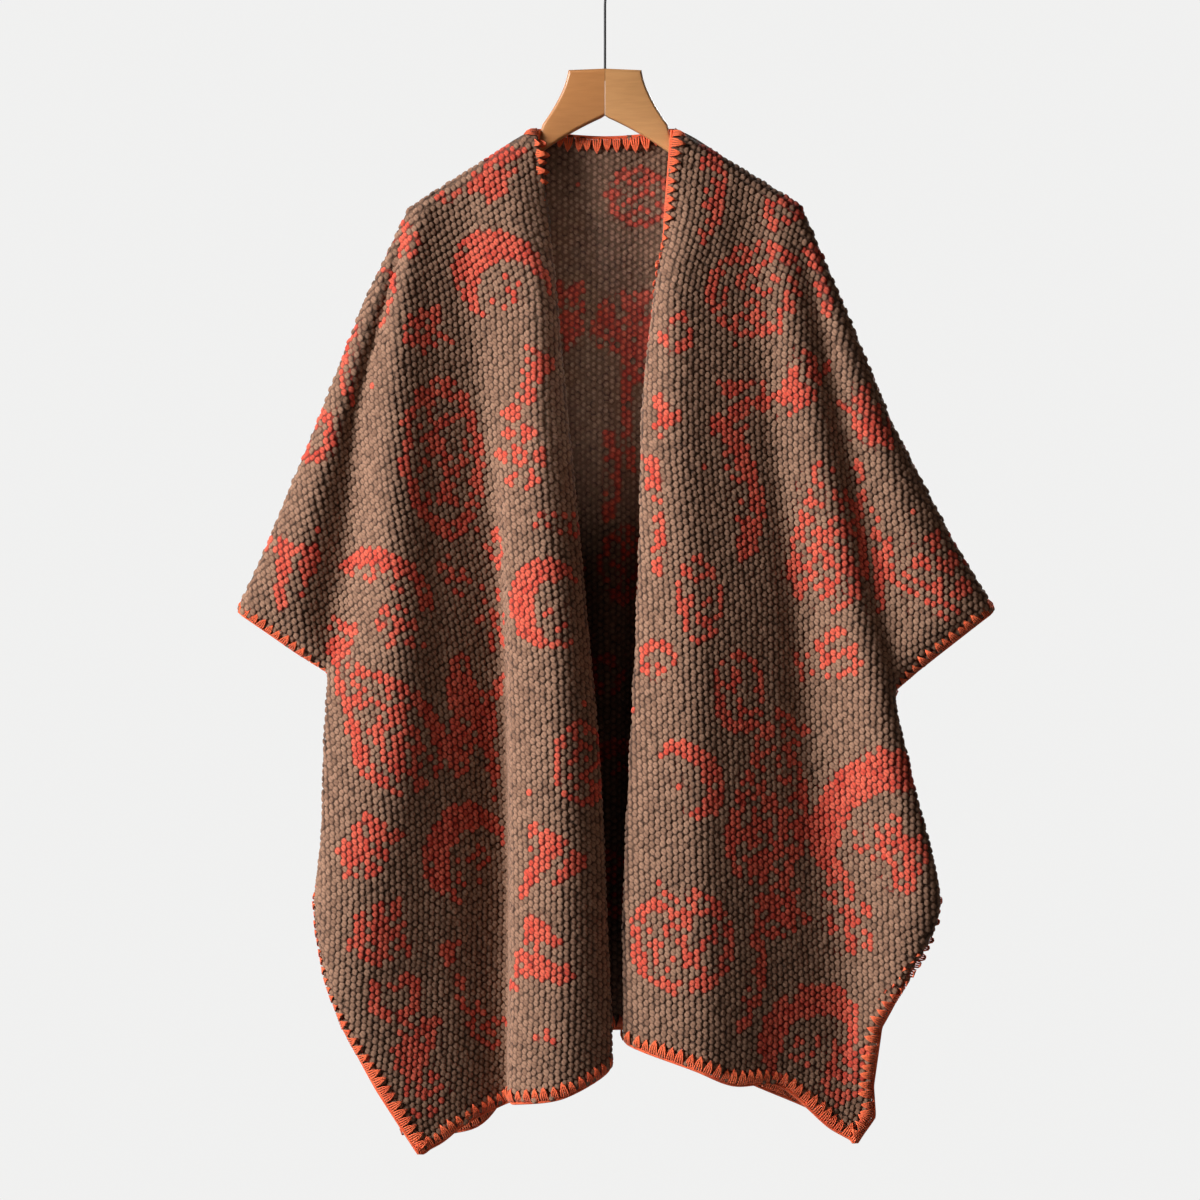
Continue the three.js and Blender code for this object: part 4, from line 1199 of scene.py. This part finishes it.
def blanket_stitch(name, path, seed):
    """The fans and the edge yarn of one stretch of edge, as two pieces."""
    places, inwards, outwards = spaced(path, STITCH_STEP)
    chance = np.random.default_rng(seed)
    sideways = np.cross(inwards, outwards)
    places = places + sideways * chance.uniform(-STITCH_STRAY, STITCH_STRAY, (len(places), 1))
    side = math.ceil(math.sqrt(len(places)))
    cells = np.array([((k % side) / side, (k // side) / side, 0) for k in range(len(places))])
    attributes = {"outwards": outwards, "upwards": inwards, "cell": cells}
    fans = stand_on_cloth(name + "_fans", places, attributes, STRAND_FAN, EDGE_YARN_FINISH,
                          (1 / side, 1 / side, 0), (0.86, 1.12), seed)
    line, inward, _ = spaced(path, EDGE_YARN_STEP, 0)
    yarn = point_mesh(name + "_yarn", line - inward * EDGE_OUT, {})
    yarn.data.edges.add(len(line) - 1)
    ends = np.stack((np.arange(len(line) - 1), np.arange(1, len(line))), axis=1)
    yarn.data.edges.foreach_set("vertices", ends.ravel())
    inputs = {"Radius": EDGE_YARN * MM, "Sides": 7, "Finish": EDGE_YARN_FINISH}
    return fans, made_plain(yarn, YARN_ALONG, inputs)


def cuff_row(grid, half, column):
    """The row at which a free outer edge starts, at the top of the cuff."""
    return int(np.argmin(np.abs(HIGH_SHOULDER - grid[:, column, 2] - half["cuff"][0])))


def round_path(grid, turn, first_row, last_half):
    """Down the grid's first column, along the hem, and up its last column to the cuff's top."""
    last_row, last_column = len(grid) - 1, grid.shape[1] - 1
    falling, columns = np.arange(first_row, last_row), np.arange(0, last_column)
    rising = np.arange(last_row, cuff_row(grid, last_half, -1) - 1, -1)
    return edge_path(grid, turn, (
        (falling, np.zeros_like(falling), falling, np.ones_like(falling)),
        (np.full_like(columns, last_row), columns, np.full_like(columns, last_row - 1), columns),
        (rising, np.full_like(rising, last_column), rising, np.full_like(rising, last_column - 1)),
    ))


def neck_path(grid):
    first = sum(BACK_SPLITS[:5])
    columns = np.arange(first, grid.shape[1] - first)
    zero = np.zeros_like(columns)
    return edge_path(grid, 1, ((zero, columns, zero + 6, columns),))


NECK_ROW = 3  # a front's stitches start at this row, below the neck
right_path = round_path(right_grid, 1, NECK_ROW, RIGHT_FRONT)
left_path = round_path(left_grid, -1, NECK_ROW, LEFT_FRONT)
back_path = round_path(back, 1, cuff_row(back, RIGHT_FRONT, 0), LEFT_FRONT)
stitches = {
    "right_front": blanket_stitch("right_front_stitch", right_path, 41),
    "left_front": blanket_stitch("left_front_stitch", left_path, 42),
    "back": blanket_stitch("back_stitch", back_path, 43),
    "neck": blanket_stitch("neck_stitch", neck_path(back), 44),
}
for pair in stitches.values():
    for yarn in pair:
        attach(yarn, "root")

# ---------------------------------------------------------------- floor, light and camera
# A plain pale floor below the hanging cape, soft light from the upper left, and a level camera.
FLOOR_HEIGHT = -1.95
FLOOR_HALF = 2.5
ROOM_PALE = (0.875, 0.875, 0.87, 1)
floor_corners = [(x * FLOOR_HALF, y * FLOOR_HALF, FLOOR_HEIGHT)
                 for x, y in ((-1, -1), (1, -1), (1, 1), (-1, 1))]
floor_mesh = bpy.data.meshes.new("floor")
floor_mesh.from_pydata(floor_corners, [], [(0, 1, 2, 3)])
floor_finish, floor_tree, floor_shader = new_material("pale_floor", 0.8)
floor_shader.inputs["Base Color"].default_value = (0.72, 0.72, 0.71, 1)
floor_mesh.materials.append(floor_finish)
floor = placed("floor", floor_mesh)


def seen_and_lit(tree, seen, lit, surface):
    """The camera sees one shader and all other rays meet the other."""
    rays = add(tree, "ShaderNodeLightPath")
    either = add(tree, "ShaderNodeMixShader", {
        0: rays.outputs["Is Camera Ray"], 1: lit.outputs[0], 2: seen.outputs[0],
    })
    tree.links.new(either.outputs[0], surface)


# The camera sees the floor as pale as the room, though the lamps' beams miss most of it.
floor_glow = add(floor_tree, "ShaderNodeEmission", {"Color": ROOM_PALE})
floor_surface = floor_tree.nodes["Material Output"].inputs["Surface"]
seen_and_lit(floor_tree, floor_glow, floor_shader, floor_surface)

CAPE_MIDDLE = Vector((-0.005, 0, -0.65))
WHITE = (1, 1, 1)
WARM = (1.0, 0.82, 0.66)


def soft_light(name, place, power, size, spread, aim=CAPE_MIDDLE, colour=WHITE):
    """An area lamp. size is its width and height, spread its beam's whole angle in degrees."""
    data = bpy.data.lights.new(name, "AREA")
    data.shape = "RECTANGLE"
    data.size, data.size_y = size
    data.energy, data.spread = power, math.radians(spread)
    data.color = colour
    lamp = placed(name, data)
    lamp.location = place
    lamp.rotation_euler = (aim - Vector(place)).to_track_quat("-Z", "Y").to_euler()


soft_light("window", (-3.55, -1.85, 0.5), 31, (2.2, 2.2), 36)
soft_light("fill", (0.6, -4.2, 0.4), 0.13, (2.0, 2.0), 60, colour=WARM)
soft_light("opening", (0.05, -3.4, 0.2), 0.036, (0.05, 0.3), 3, Vector((-0.005, 0, -0.38)))
soft_light("wall", (3.4, -2.2, 0.3), 0.85, (1.5, 1.5), 40, colour=WARM)
soft_light("behind", (1.3, 2.8, 0.9), 9, (2.0, 2.0), 28)

world = bpy.data.worlds.new("pale_room")
world.use_nodes = True
room = world.node_tree
room_seen = room.nodes["Background"]
room_seen.inputs["Color"].default_value = ROOM_PALE
room_lit = add(room, "ShaderNodeBackground", {"Color": (1.0, 0.92, 0.84, 1), "Strength": 0.003})
seen_and_lit(room, room_seen, room_lit, room.nodes["World Output"].inputs["Surface"])
bpy.context.scene.world = world
bpy.context.scene.view_settings.view_transform = "Standard"

camera_data = bpy.data.cameras.new("camera")
camera_data.lens = 150
camera_data.sensor_width = 36
camera = placed("camera", camera_data)
camera.location = CAPE_MIDDLE + Vector((0, -5, 0))
camera.rotation_euler = (math.radians(90), 0, 0)
bpy.context.scene.camera = camera
